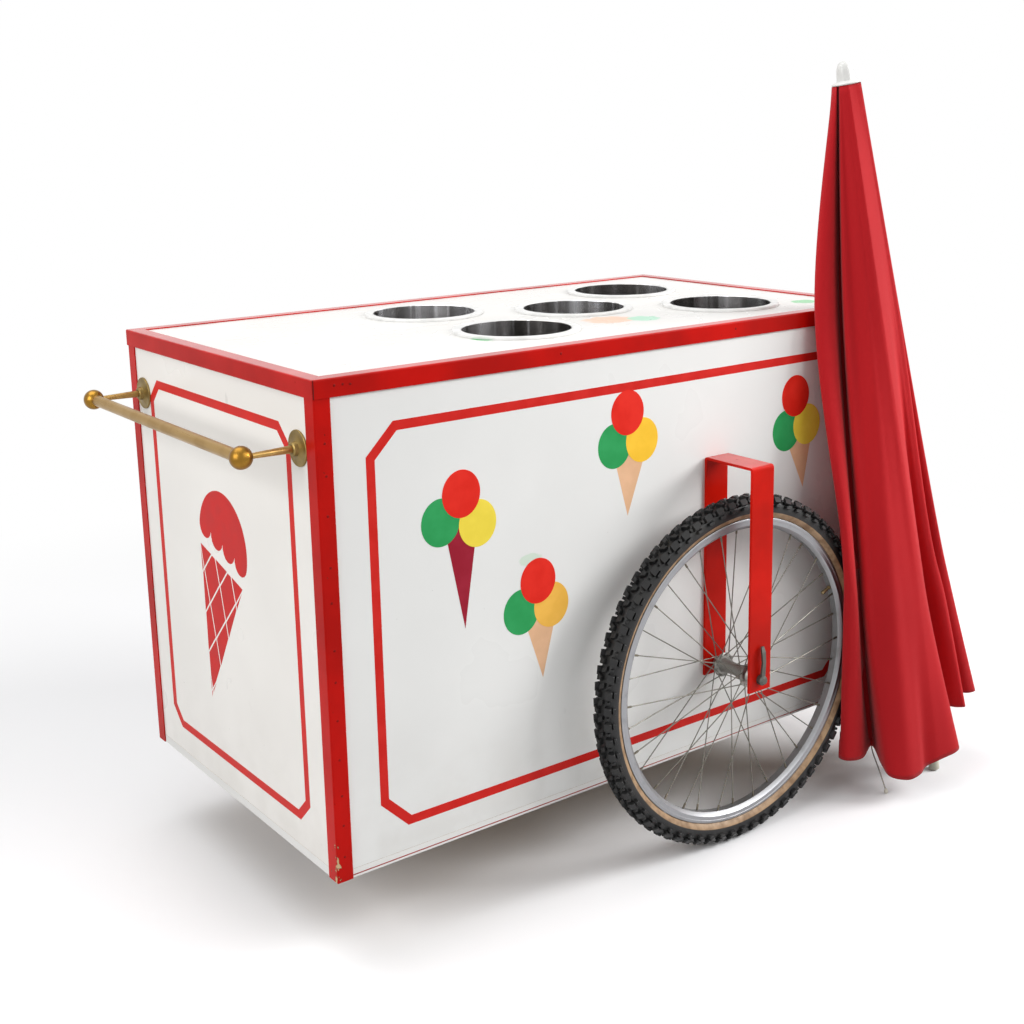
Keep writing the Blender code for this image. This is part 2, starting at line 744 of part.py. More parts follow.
def canopy_rings(neck_height):
    """Level outlines of the folded cloth, from its uneven hem up to the neck."""
    folds = []
    for hem_share, *place_shares in fold_shares:
        heights = [canopy_hem * hem_share] + [lid_top * share for share in canopy_height_shares]
        heights += [lid_top, neck_height]
        points = []
        for height, (forward_share, outward_share) in zip(heights, place_shares):
            offset = Vector((forward_share, -outward_share, 0)) * canopy_spread
            points.append(pole_at(height) + offset)
        folds.append(points)
    levels = [(i, j / canopy_ring_steps) for i in range(len(folds[0]) - 1) for j in range(canopy_ring_steps)]
    levels.append((len(folds[0]) - 1, 0))
    rings = []
    for index, share in levels:
        crests = [on_spline(points, index, share) for points in folds]
        ring = [on_spline(crests, i, j / fold_steps, closed=True)
                for i in range(len(crests)) for j in range(fold_steps)]
        rings.append([kept_clear(point) for point in ring])
    return rings


def canopy_mesh(neck_height):
    """The furled cloth as one body round a bore for the pole, open at neither end."""
    mesh = bmesh.new()
    outer = canopy_rings(neck_height)
    count = len(outer[0])
    bore_radius = pole_radius + canopy_bore_clearance
    foot_height = sum(point.z for point in outer[0]) / count
    start = outer[-1][0] - pole_at(neck_height)
    start_turn = math.atan2(start.y, start.x)
    bore = []
    for height in (neck_height, foot_height):
        turns = [start_turn + 2 * math.pi * i / count for i in range(count)]
        bore.append([pole_at(height) + bore_radius * Vector((math.cos(turn), math.sin(turn), 0))
                     for turn in turns])
    rings = [[mesh.verts.new(point) for point in ring] for ring in outer + bore]
    skin(mesh, rings, closed=True)
    return mesh


def make_parasol(root):
    turn = parasol_along.to_track_quat("Z", "Y").to_matrix().to_4x4()
    axis = empty("parasol_axis", root, parasol_foot, turn)
    cap_bottom = pole_length - cap_height
    flange_top = cap_bottom + cap_flange_height
    socket = pole_length - cap_height / 2
    piece("parasol_pole", rod(pole_radius, 0, socket), pole_grey, axis)
    bore = pole_radius + seat_gap
    outline = [(0, socket + seat_gap), (bore, socket + seat_gap), (bore, cap_bottom),
               (cap_flange_radius, cap_bottom), (cap_radius, flange_top),
               (cap_shoulder_radius, pole_length - cap_crown_height), (cap_crown_radius, pole_length),
               (0, pole_length)]
    piece("parasol_cap", turned(outline, "Z", small_segments), white_plastic, axis)
    lean = math.hypot(parasol_along.x, parasol_along.y)
    neck_height = (parasol_foot + parasol_along * cap_bottom).z - cap_flange_radius * lean - seat_gap
    piece("parasol_canopy", canopy_mesh(neck_height), red_cloth, root)


# The cart, put together and stood with the origin under its middle

def stand_over_origin(root):
    bpy.context.view_layer.update()
    shapes = bpy.context.evaluated_depsgraph_get()
    corners = []
    for item in bpy.context.scene.objects:
        if item.type == "MESH" and not item.hide_render:
            made = item.evaluated_get(shapes)
            corners += [made.matrix_world @ vert.co for vert in made.data.vertices]
    low = [min(point[i] for point in corners) for i in range(3)]
    high = [max(point[i] for point in corners) for i in range(3)]
    root.location = (-(low[0] + high[0]) / 2, -(low[1] + high[1]) / 2, -low[2])


for item in list(bpy.data.objects):
    bpy.data.objects.remove(item, do_unlink=True)

white_board = material("white_board", (0.80, 0.80, 0.79), 0.35)
plain_board = material("plain_board", (0.62, 0.52, 0.38), 0.70)
ring_white = material("ring_white", (0.85, 0.85, 0.84), 0.40)
red_paint = material("red_paint", (0.50, 0.010, 0.010), 0.30)
bracket_red = material("bracket_red", (0.68, 0.022, 0.010), 0.38)
steel = material("steel", (0.55, 0.55, 0.56), 0.22, 1.0)
brass = material("brass", (0.62, 0.43, 0.20), 0.32, 1.0)
tyre_rubber = material("tyre_rubber", (0.022, 0.022, 0.023), 0.75)
aluminium = material("aluminium", (0.66, 0.67, 0.68), 0.35, 1.0)
dark_metal = material("dark_metal", (0.20, 0.20, 0.19), 0.45, 1.0)
zinc = material("zinc", (0.58, 0.60, 0.62), 0.40, 1.0)
grey_rubber = material("grey_rubber", (0.10, 0.10, 0.10), 0.70)
red_cloth = material("red_cloth", (0.45, 0.020, 0.030), 0.85)
pole_grey = material("pole_grey", (0.45, 0.48, 0.44), 0.40, 0.6)
white_plastic = material("white_plastic", (0.82, 0.82, 0.80), 0.40)
guide_finish = material("guide", (0.20, 0.40, 0.80), 0.50)

cart = empty("cart", None, (0, 0, 0))
make_panels(cart)
make_lid(cart)
make_wells(cart)
make_posts(cart)
make_trims(cart)
make_handle(cart)
make_wheel("near", near_wall - bracket_depth / 2, cart)
make_wheel("far", far_wall + bracket_depth / 2, cart)
make_bracket("near", near_wall, -1, cart)
make_bracket("far", far_wall, 1, cart)
make_caster(cart)
make_parasol(cart)
stand_over_origin(cart)
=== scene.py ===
"""Looks of the ice cream cart: camera, light, finishes and the finely shaped pieces, in metres."""
import math
import random

import bmesh
import bpy
from mathutils import Matrix, Vector


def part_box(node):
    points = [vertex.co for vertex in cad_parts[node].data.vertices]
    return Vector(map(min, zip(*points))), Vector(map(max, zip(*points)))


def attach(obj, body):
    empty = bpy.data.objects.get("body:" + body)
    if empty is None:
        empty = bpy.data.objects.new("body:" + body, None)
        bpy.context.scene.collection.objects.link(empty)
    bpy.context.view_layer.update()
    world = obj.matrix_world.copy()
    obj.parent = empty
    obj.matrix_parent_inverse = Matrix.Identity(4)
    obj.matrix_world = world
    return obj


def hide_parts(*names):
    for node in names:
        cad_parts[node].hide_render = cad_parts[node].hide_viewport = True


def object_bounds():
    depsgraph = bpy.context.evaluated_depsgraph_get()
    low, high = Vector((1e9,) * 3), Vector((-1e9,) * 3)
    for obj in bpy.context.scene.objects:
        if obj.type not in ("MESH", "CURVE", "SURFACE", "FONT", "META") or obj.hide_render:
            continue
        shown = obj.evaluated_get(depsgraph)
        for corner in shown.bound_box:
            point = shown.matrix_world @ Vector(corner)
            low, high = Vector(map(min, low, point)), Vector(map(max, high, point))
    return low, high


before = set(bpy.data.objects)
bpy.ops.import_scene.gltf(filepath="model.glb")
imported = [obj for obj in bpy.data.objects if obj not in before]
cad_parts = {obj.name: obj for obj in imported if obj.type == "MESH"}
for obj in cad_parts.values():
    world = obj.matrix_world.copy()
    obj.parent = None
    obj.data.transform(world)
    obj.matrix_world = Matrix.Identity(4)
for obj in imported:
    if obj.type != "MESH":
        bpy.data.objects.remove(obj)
cad_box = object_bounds()

# The cart's own corner: handle end, near side, ground; the lid's edge angles stop half a mitre short
mitre_half = 0.00025
trim_low, trim_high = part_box("lid_trim_near")
corner = Vector((trim_low.x - mitre_half, trim_low.y, 0))
lid_top = trim_high.z
box_length = trim_high.x - trim_low.x + 2 * mitre_half
box_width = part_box("lid_trim_far")[1].y - trim_low.y
forward, inward, upright = Vector((1, 0, 0)), Vector((0, 1, 0)), Vector((0, 0, 1))
sides = ("near", "far")

# Facets round a turned piece, and the gap between pieces that fit into each other
fine = 72
fit = 0.0003

# Camera
camera_place = Vector((-0.9697, -1.8216, 1.3364))
camera_yaw = math.radians(53.5824)
camera_pitch = math.radians(12.6127)
camera_roll = math.radians(-1.1424)
camera_lens = 50.32
camera_sensor = 36.0
camera_shift = (-0.00825, -0.07415)
camera_far = 100.0

# Floor, with the reach over which it turns white, and sky
floor_size = 24.0
floor_fade = (1.25, 2.6)
floor_bounce = (0.38, 0.38, 0.38, 1.0)
floor_seen = (0.93, 0.93, 0.94, 1.0)
pure_white = (1.0, 1.0, 1.0, 1.0)
sky_level = 0.31

# Lamps: name, place, what it is aimed at, width and power
lamps = (
    ("key", (2.4, -4.2, 3.8), (0.7, 0.2, 0.5), 3.4, 99),
    ("top", (-0.5, 1.3, 4.4), (0.6, 0.3, 0.5), 3.2, 97),
    ("handle_end", (-3.6, -0.4, 2.4), (0.2, 0.3, 0.5), 2.4, 100),
    ("front_end", (3.9, -1.9, 2.4), (1.2, -0.1, 0.9), 1.6, 138),
)


def on_cart(x, y, z):
    """A place given from the cart's own corner."""
    return corner + Vector((x, y, z))


def middle_of(node):
    low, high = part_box(node)
    return (low + high) / 2


# Shader sums as plain expressions

class Value:
    """A shader socket that takes part in sums."""

    def __init__(self, finish, socket):
        self.finish = finish
        self.socket = socket

    def sum(self, operation, *values):
        return self.finish.node("Math", {"operation": operation}, dict(enumerate(values)))

    def __add__(self, other):
        return self.sum("ADD", self, other)

    def __radd__(self, other):
        return self.sum("ADD", other, self)

    def __sub__(self, other):
        return self.sum("SUBTRACT", self, other)

    def __rsub__(self, other):
        return self.sum("SUBTRACT", other, self)

    def __mul__(self, other):
        return self.sum("MULTIPLY", self, other)

    def __rmul__(self, other):
        return self.sum("MULTIPLY", other, self)

    def __abs__(self):
        return self.sum("ABSOLUTE", self)

    def __lt__(self, other):
        return self.sum("LESS_THAN", self, other)

    def highest(self, other):
        return self.sum("MAXIMUM", self, other)

    def root(self):
        return self.sum("SQRT", self)

    def wave(self):
        return self.sum("SINE", self)

    def fraction(self):
        return self.sum("FRACT", self)

    def ramp(self, low, high, start=0.0, end=1.0):
        """Smoothly from start to end while the value goes from low to high."""
        sockets = {"Value": self, "From Min": low, "From Max": high, "To Min": start, "To Max": end}
        return self.finish.node("MapRange", {"interpolation_type": "SMOOTHSTEP"}, sockets)


class Finish:
    """A material, or a world, and the nodes that make it."""

    def __init__(self, name, kind="materials"):
        self.owner = getattr(bpy.data, kind).new(name)
        self.owner.use_nodes = True
        self.tree = self.owner.node_tree
        self.tree.nodes.clear()

    def node(self, kind, settings=None, sockets=None, output=0):
        item = self.tree.nodes.new("ShaderNode" + kind)
        for name, setting in (settings or {}).items():
            setattr(item, name, setting)
        for name, value in (sockets or {}).items():
            if isinstance(value, Value):
                self.tree.links.new(value.socket, item.inputs[name])
            else:
                item.inputs[name].default_value = value
        return Value(self, item.outputs[output]) if item.outputs else None

    def parts(self, kind, sockets=None):
        """Every output of a node, by its name."""
        outputs = self.node(kind, None, sockets).socket.node.outputs
        return {socket.name: Value(self, socket) for socket in outputs}

    def split(self, vector):
        """The X, Y and Z of a vector."""
        return self.parts("SeparateXYZ", {0: vector}).values()

    def vector(self, operation, *values, output=0):
        return self.node("VectorMath", {"operation": operation}, dict(enumerate(values)), output)

    def place(self):
        return self.node("TexCoord", output="Object")

    def reaches_from(self, middle, reach):
        """How far a point lies from a middle, counted in reaches along each axis."""
        off = self.vector("SUBTRACT", self.place(), middle)
        return self.vector("LENGTH", self.vector("DIVIDE", off, reach), output="Value")

    def facing_up(self):
        _, _, up = self.split(self.node("NewGeometry", output="Normal"))
        return up

    def noise(self, scale, detail=3.0, stretch=None, distortion=0.0):
        place = self.vector("MULTIPLY", self.place(), stretch) if stretch else self.place()
        sockets = {"Vector": place, "Scale": scale, "Detail": detail, "Distortion": distortion}
        return self.node("TexNoise", None, sockets)

    def mix(self, share, first, second):
        """Two colours mixed; one that is given as a tone goes from 0 to 255 as seen."""
        colours = [tone if isinstance(tone, Value) else in_linear(tone) for tone in (first, second)]
        return self.node("Mix", {"data_type": "RGBA"}, {0: share, 6: colours[0], 7: colours[1]}, 2)

    def bump(self, height, distance, strength=1.0):
        return self.node("Bump", None, {"Height": height, "Distance": distance, "Strength": strength})

    def finished(self, colour, roughness, metallic=0.0, normal=None, **others):
        sockets = {"Base Color": colour, "Roughness": roughness, "Metallic": metallic}
        if normal:
            sockets["Normal"] = normal
        sockets.update((name.replace("_", " "), value) for name, value in others.items())
        self.node("OutputMaterial", None, {"Surface": self.node("BsdfPrincipled", None, sockets)})
        return self.owner


def in_linear(tone):
    """A tone as seen, from 0 to 255, in the shader's own linear terms."""
    shares = [level / 255 for level in tone]
    levels = [share / 12.92 if share <= 0.04045 else ((share + 0.055) / 1.055) ** 2.4 for share in shares]
    return (*levels, 1.0)


def darker(tone, share):
    return [level * share for level in tone]


# Finishes

# Heights between which dust thickens towards the boards' foot
dust_rise = (0.42, 0.16)

# The middle of the chips on the near corner's foot, and how far they reach
chip_foot = (0.0, 0.0, 0.17)
chip_reach = (0.016, 0.016, 0.11)

# Worn prints on the lid and on the near side: middle, reach each way, tone
lid_marks = (
    ((0.424, 0.164, 0.966), (0.026, 0.026, 0.02), (56, 170, 96)),
    ((0.722, 0.190, 0.966), (0.052, 0.046, 0.02), (248, 190, 160)),
    ((0.782, 0.160, 0.966), (0.034, 0.034, 0.02), (160, 216, 186)),
    ((1.168, 0.118, 0.966), (0.030, 0.028, 0.02), (112, 196, 130)),
)
side_marks = (
    ((0.392, 0.004, 0.616), (0.026, 0.02, 0.012), (206, 222, 206)),
    ((0.408, 0.004, 0.602), (0.014, 0.02, 0.010), (224, 208, 190)),
)


def worn_marks(finish, colour, marks):
    """What is left of prints that were wiped away."""
    grain = finish.noise(55.0, 6.0)
    for place, reach, tone in marks:
        left = (grain * 0.8 + finish.reaches_from(on_cart(*place), reach)).ramp(1.42, 1.18)
        colour = finish.mix(left * 0.9, colour, tone)
    return colour


def white_laminate(name, tone, marks=()):
    """Glossy white board: faint cloudiness, a few scuffs and dust towards its foot."""
    finish = Finish(name)
    _, _, height = finish.split(finish.place())
    cloud = finish.noise(3.0, 4.0).ramp(0.3, 0.7)
    colour = finish.mix(cloud, tone, [level - 6 for level in tone])
    dust = height.ramp(*dust_rise) * finish.noise(14.0, 6.0).ramp(0.35, 0.75)
    colour = finish.mix(dust * 0.16, colour, (176, 168, 156))
    scuff = finish.noise(16.0, 8.0, (1.0, 1.0, 0.5), 0.8).ramp(0.70, 0.76)
    colour = finish.mix(scuff * 0.22, colour, (160, 158, 152))
    specks = finish.noise(110.0, 2.0).ramp(0.80, 0.84)
    colour = finish.mix(specks * 0.35, colour, (120, 116, 108))
    colour = worn_marks(finish, colour, marks)
    wave = finish.bump(finish.noise(6.0, 2.0), 0.0006, 0.4)
    return finish.finished(colour, 0.26 + cloud * 0.08 + scuff * 0.2, normal=wave, Specular_IOR_Level=0.3)


def lid_laminate():
    """White top board, yellowed and wiped, with worn prints between the wells."""
    finish = Finish("lid_laminate")
    cloud = finish.noise(5.0, 5.0).ramp(0.35, 0.7)
    colour = finish.mix(cloud, (227, 226, 223), (223, 221, 217))
    stain = finish.noise(7.0, 2.0, (1.0, 2.6, 1.0), 0.8).ramp(0.60, 0.80)
    colour = finish.mix(stain * 0.05, colour, (214, 200, 164))
    colour = worn_marks(finish, colour, lid_marks)
    roughness = 0.26 + finish.noise(12.0, 2.0).ramp(0.4, 0.7) * 0.08
    return finish.finished(colour, roughness, Specular_IOR_Level=0.3)


def floor_board():
    """Bare ply underneath, with its edges painted white."""
    finish = Finish("floor_board")
    grain = finish.noise(3.0, 8.0, (1.5, 22.0, 22.0), 1.0).ramp(0.3, 0.7)
    colour = finish.mix(grain, (158, 124, 84), (196, 164, 120))
    dirt = finish.noise(4.0, 6.0).ramp(0.45, 0.75)
    colour = finish.mix(dirt * 0.45, colour, (96, 84, 72))
    edge = abs(finish.facing_up()) < 0.7
    colour = finish.mix(edge, colour, (230, 229, 226))
    return finish.finished(colour, 0.62 + dirt * 0.2, normal=finish.bump(grain, 0.0003, 0.5))


def painted(name, tone, chipped=False):
    """Gloss enamel with small runs, specks and, where asked for, chips round one corner's foot."""
    finish = Finish(name)
    cloud = finish.noise(8.0, 5.0).ramp(0.3, 0.7)
    colour = finish.mix(cloud, tone, darker(tone, 0.86))
    specks = finish.noise(160.0, 3.0).ramp(0.72, 0.78)
    colour = finish.mix(specks * 0.5, colour, (92, 30, 22))
    roughness = 0.30 + cloud * 0.08 + specks * 0.3
    coat = finish.facing_up().ramp(0.5, 0.9) * 0.7
    height = finish.noise(22.0, 3.0) * 0.6 + specks * 0.2
    if chipped:
        near = finish.reaches_from(on_cart(*chip_foot), chip_reach).ramp(1.0, 0.1)
        grain = finish.noise(150.0, 5.0, (1.0, 1.0, 0.5)) + near * 0.2
        chips = grain.ramp(0.74, 0.76)
        colour = finish.mix(grain.ramp(0.70, 0.74), colour, (84, 22, 18))
        colour = finish.mix(chips, colour, (206, 178, 138))
        roughness = roughness + chips * 0.35
        height = height - chips * 0.6
    runs = finish.bump(height, 0.0004, 0.4)
    return finish.finished(colour, roughness, normal=runs, Specular_IOR_Level=0.08, Coat_Weight=coat)


def vinyl(name, tone):
    """Cut film: flat colour, very slightly uneven, with its own soft gloss."""
    finish = Finish(name)
    cloud = finish.noise(26.0, 4.0).ramp(0.35, 0.7)
    colour = finish.mix(cloud, tone, [min(255, level + 9) for level in tone])
    return finish.finished(colour, 0.40 + cloud * 0.08, Specular_IOR_Level=0.12)


def moulded(name, tone, roughness=0.38):
    """Moulded plastic, rubber or thick enamel with a fine skin."""
    finish = Finish(name)
    cloud = finish.noise(40.0, 4.0).ramp(0.35, 0.7)
    colour = finish.mix(cloud, tone, darker(tone, 0.94))
    grain = finish.bump(finish.noise(700.0, 2.0), 0.0001, 0.3)
    return finish.finished(colour, roughness + cloud * 0.1, normal=grain)


def metal(name, tone, roughness, dull=0.4, dull_tone=(90, 84, 76), grain=90.0, stretch=None):
    """Worked metal: fine lines, along one direction where stretched, and duller, darker patches."""
    finish = Finish(name)
    lines = finish.noise(grain, 4.0, stretch).ramp(0.3, 0.7)
    patch = finish.noise(18.0, 5.0).ramp(0.4, 0.72)
    colour = finish.mix(lines * 0.5, tone, darker(tone, 0.88))
    colour = finish.mix(patch * dull, colour, dull_tone)
    rough = roughness + lines * 0.10 + patch * 0.12
    return finish.finished(colour, rough, 1.0, finish.bump(lines, 0.0001, 0.35))


def well_steel():
    """Polished tub steel with painted reflections: soft upright stripes, bright and dark, and narrow bright
    painted highlights in its colour; the same stripes also vary its roughness and bump.
    """
    finish = Finish("well_steel")
    polish_and_painted_reflection = finish.noise(15.0, 2.0, (1.0, 1.0, 0.01)).ramp(0.40, 0.66)
    painted_glints = finish.noise(48.0, 1.0, (1.0, 1.0, 0.01)).ramp(0.60, 0.68)
    # Painted reflection: bright and dark upright stripes, then narrow painted highlights, mixed into the
    # steel's colour
    colour = finish.mix(polish_and_painted_reflection, (152, 149, 146), (228, 228, 230))
    colour = finish.mix(painted_glints, colour, (252, 252, 254))
    return finish.finished(colour, 0.16 + polish_and_painted_reflection * 0.12, 1.0, finish.bump(polish_and_painted_reflection, 0.0005, 0.25))


def from_axle(finish, centre):
    """How far a point lies from a wheel's axle line."""
    across, _, up = finish.split(finish.vector("SUBTRACT", finish.place(), centre))
    return (across * across + up * up).root()


def tyre_rubber(name, centre, tan_from, tan_to):
    """Black tread rubber over a tan cloth wall, dusty between the blocks."""
    finish = Finish(name)
    away = from_axle(finish, centre)
    wall = away.ramp(tan_to, tan_to - tan_edge) * away.ramp(tan_from - tan_edge, tan_from)
    cloud = finish.noise(60.0, 5.0).ramp(0.35, 0.7)
    black = finish.mix(cloud, (10, 10, 11), (19, 19, 19))
    dust = finish.noise(24.0, 6.0).ramp(0.5, 0.8)
    black = finish.mix(dust * 0.10, black, (96, 92, 84))
    tan = finish.mix(cloud, (168, 138, 106), (128, 100, 72))
    colour = finish.mix(wall, black, tan)
    bump = finish.bump(finish.noise(420.0, 3.0) + cloud, 0.0002, 0.4)
    return finish.finished(colour, 0.44 + cloud * 0.16, normal=bump, Specular_IOR_Level=0.40)


def rim_metal(name, centre):
    """Turned aluminium: rings left by the lathe, dull spots and grey oxide inside."""
    finish = Finish(name)
    away = from_axle(finish, centre)
    rings = (away * lathe_rate).wave() * 0.5 + 0.5
    spots = finish.noise(34.0, 6.0).ramp(0.5, 0.78)
    colour = finish.mix(rings * 0.25, (152, 153, 156), (130, 132, 135))
    colour = finish.mix(spots * 0.4, colour, (116, 116, 114))
    inner = away.ramp(*(rim_radius - depth for depth in rim_oxide))
    colour = finish.mix(inner * 0.35, colour, (120, 120, 118))
    return finish.finished(colour, 0.40 + spots * 0.16 + inner * 0.1, 1.0)


def red_cotton():
    """Woven red canopy cloth: fine plain weave, long soft creases and a stitched hem."""
    finish = Finish("red_cotton")
    across, up, _ = finish.split(finish.node("UVMap"))
    weave = (across * thread_rate).wave() * (up * thread_rate).wave()
    cloud = finish.noise(7.0, 5.0, (1.0, 1.0, 0.3)).ramp(0.3, 0.72)
    colour = finish.mix(cloud, (192, 30, 36), (178, 24, 31))
    creases = finish.noise(22.0, 5.0, (1.0, 1.0, 0.16), 0.6)
    seam = abs(up - seam_height).ramp(*seam_half)
    stitches = (across * stitch_count).fraction() < 0.7
    colour = finish.mix(seam * 0.35, colour, (104, 8, 14))
    height = weave * 0.10 + creases - seam * 0.5 + seam * stitches * 0.25
    return finish.finished(colour, 0.80, normal=finish.bump(height, 0.0016, 0.35),
                           Specular_IOR_Level=0.12, Sheen_Weight=0.10)


# Shapes

def placed(name, data):
    item = bpy.data.objects.new(name, data)
    bpy.context.scene.collection.objects.link(item)
    return item


def mesh_data(name, mesh, finish):
    data = bpy.data.meshes.new(name)
    mesh.to_mesh(data)
    mesh.free()
    data.materials.append(finish)
    return data


def made(name, mesh, finish, body="cart", angle=35, node=None):
    """A piece that rides on a body and, where one is given, stands for a node."""
    bmesh.ops.recalc_face_normals(mesh, faces=mesh.faces)
    data = mesh_data(name, mesh, finish)
    data.shade_smooth()
    data.set_sharp_from_angle(angle=math.radians(angle))
    item = placed(name, data)
    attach(item, body)
    if node:
        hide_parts(node)
    return item


def rounded(item, width, steps=2, angle=35):
    """Breaks an object's sharp edges."""
    bevel = item.modifiers.new("edges", "BEVEL")
    bevel.width = width
    bevel.segments = steps
    bevel.limit_method = "ANGLE"
    bevel.angle_limit = math.radians(angle)
    bevel.use_clamp_overlap = True


def about(axis, radial, turn, along):
    """A place from its distance to the X, Y or Z axis, its turn about it and how far along it lies."""
    u, v = radial * math.cos(turn), radial * math.sin(turn)
    return Vector({"X": (along, u, v), "Y": (u, along, v), "Z": (u, v, along)}[axis])


def skin(mesh, rings, closed=False):
    """Faces between rings of points that follow each other; a ring of one point is a tip."""
    count = max(len(ring) for ring in rings)
    for lower, upper in zip(rings, rings[1:] + (rings[:1] if closed else [])):
        for i in range(count):
            j = (i + 1) % count
            around = [ring[k % len(ring)] for ring, k in ((lower, i), (lower, j), (upper, j), (upper, i))]
            mesh.faces.new(list(dict.fromkeys(around)))


def add_prism(mesh, rings):
    """A closed body from rings of points, with a face on its first and last one."""
    rings = [[mesh.verts.new(point) for point in ring] for ring in rings]
    skin(mesh, rings)
    mesh.faces.new(rings[0])
    mesh.faces.new(rings[-1])


def add_turned(mesh, outline, axis, centre, segments=fine):
    """Turns an outline of (radius, along) about an axis through centre; a radius of zero closes it."""
    rings = []
    for radius, along in outline:
        turns = [2 * math.pi * i / segments for i in range(segments if radius else 1)]
        rings.append([mesh.verts.new(centre + about(axis, radius, turn, along)) for turn in turns])
    skin(mesh, rings, closed=outline[0][0] != 0)


def turned(outline, axis, centre, segments=fine):
    mesh = bmesh.new()
    add_turned(mesh, outline, axis, centre, segments)
    return mesh


def mirrored(outline):
    """Half an outline of (radius, along) and its mirror image, end to end."""
    return [*outline] + [(radius, -along) for radius, along in reversed(outline)]


def arc(centre_u, centre_v, radius, start, end, steps):
    turns = [math.radians(start + (end - start) * i / steps) for i in range(steps + 1)]
    return [(centre_u + radius * math.cos(turn), centre_v + radius * math.sin(turn)) for turn in turns]


def rectangle(left, low, right, high):
    return [(left, low), (right, low), (right, high), (left, high)]


def circle(centre_u, centre_v, wide, high, count=64):
    turns = [2 * math.pi * i / count for i in range(count)]
    return [(centre_u + wide * math.cos(turn), centre_v + high * math.sin(turn)) for turn in turns]


def add_tube(mesh, points, radii, sides=8):
    """A closed tube along points, each with its own radius."""
    rings = []
    across = None
    last = len(points) - 1
    for i, (point, radius) in enumerate(zip(points, radii)):
        along = (points[min(i + 1, last)] - points[max(i - 1, 0)]).normalized()
        across = across - along * across.dot(along) if across else along.orthogonal()
        across.normalize()
        other = along.cross(across)
        turns = [2 * math.pi * k / sides for k in range(sides)]
        spread = [across * math.cos(turn) + other * math.sin(turn) for turn in turns]
        rings.append([point + radius * out for out in spread])
    add_prism(mesh, rings)


def add_plate(mesh, outline, origin, right, up, thickness):
    """A thin plate from an outline on the plane of right and up, raised along its normal."""
    normal = right.cross(up)
    flat = [origin + right * u + up * v for u, v in outline]
    add_prism(mesh, [flat, [point + normal * thickness for point in flat]])


def thicken(mesh, height):
    """Gives a flat mesh its thickness by moving a copy of its faces to a height."""
    for item in bmesh.ops.extrude_face_region(mesh, geom=mesh.faces[:])["geom"]:
        if isinstance(item, bmesh.types.BMVert):
            item.co.z = height


def on_spline(points, index, share, closed=False):
    """A point on a smooth curve through the given ones, at a share of the way after point index."""
    count = len(points)
    places = [(index + step) % count if closed else index + step for step in (-1, 0, 1, 2)]
    before, start, end, after = (points[min(max(place, 0), count - 1)] for place in places)
    square = share * share
    bend = (end - before) * share + (2 * before - 5 * start + 4 * end - after) * square
    return start + (bend + (3 * start - before - 3 * end + after) * (square * share)) / 2


def spline(points, steps, closed=False):
    last = len(points) if closed else len(points) - 1
    curve = [on_spline(points, i, j / steps, closed) for i in range(last) for j in range(steps)]
    return curve if closed else curve + [points[-1]]


# Striped frames and films: left, foot, right and top from the box's corner, and the cut of their corners
side_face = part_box("side_panel_near")[0].y - corner.y
end_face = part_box("end_panel_handle")[0].x - corner.x
film = 0.00015
stripe_width = 0.0155
side_frame = (0.0865, 0.2195, 1.1775, 0.8885)
side_frame_cut = 0.050
end_frame = (0.0855, 0.2245, 0.6235, 0.8885)
end_frame_cut = 0.035

# Scoops and cones on the near side: middle of the red scoop, the green and yellow ones from it,
# the cone's tip, its left and right edges where they leave the scoops, and its two tones
scoop_width = 0.0365
scoop_height = 0.0395
cone_under_share = 1.32
figures = (
    ((0.2577, 0.7526), (-0.0407, -0.0404), (0.0303, -0.0537),
     (0.2584, 0.5263), (0.2306, 0.6676), (0.2803, 0.6565), "lemon", "wine"),
    ((0.4075, 0.5761), (-0.0358, -0.0474), (0.0273, -0.0476),
     (0.4146, 0.4023), (0.3848, 0.4918), (0.4384, 0.4891), "amber", "cone"),
    ((0.6062, 0.8358), (-0.0297, -0.0548), (0.0328, -0.0524),
     (0.6057, 0.6526), (0.5807, 0.7434), (0.6403, 0.7437), "yellow", "cone"),
    ((1.0243, 0.8103), (-0.0233, -0.0642), (0.0323, -0.0587),
     (1.0498, 0.6285), (1.0111, 0.7087), (1.0677, 0.7166), "lemon", "cone"),
)
film_tones = {
    "red": (222, 38, 26), "green": (44, 152, 84), "lemon": (240, 216, 74), "amber": (236, 180, 76),
    "yellow": (246, 194, 54), "cone": (226, 180, 142), "wine": (150, 26, 46),
}


def frame_stripe(edges, cut, origin, right):
    """A striped frame with cut corners, as one thin band of film."""
    def eight(inset, lift):
        u0, v0, u1, v1 = edges[0] + inset, edges[1] + inset, edges[2] - inset, edges[3] - inset
        c = cut - inset * (2 - math.sqrt(2))
        corners = ((u0 + c, v0), (u1 - c, v0), (u1, v0 + c), (u1, v1 - c),
                   (u1 - c, v1), (u0 + c, v1), (u0, v1 - c), (u0, v0 + c))
        out = right.cross(upright) * lift
        return [mesh.verts.new(origin + right * u + upright * v + out) for u, v in corners]

    mesh = bmesh.new()
    steps = ((0, 0), (0, film), (stripe_width, film), (stripe_width, 0))
    skin(mesh, [eight(inset, lift) for inset, lift in steps], closed=True)
    return mesh


def box_stripes():
    """A striped frame on each of the four walls, seen the same way from its own side."""
    red = vinyl("stripe_red", (203, 34, 28))
    low_u, low_v, high_u, high_v = end_frame
    turned_frame = (box_width - high_u, low_v, box_width - low_u, high_v)
    for name, edges, cut, start, right in (
            ("side_stripe_near", side_frame, side_frame_cut, (0, side_face), forward),
            ("side_stripe_far", side_frame, side_frame_cut, (box_length, box_width - side_face), -forward),
            ("end_stripe_handle", turned_frame, end_frame_cut, (end_face, box_width), -inward),
            ("end_stripe_front", end_frame, end_frame_cut, (box_length - end_face, 0), inward)):
        made(name, frame_stripe(edges, cut, on_cart(*start, 0), right), red)


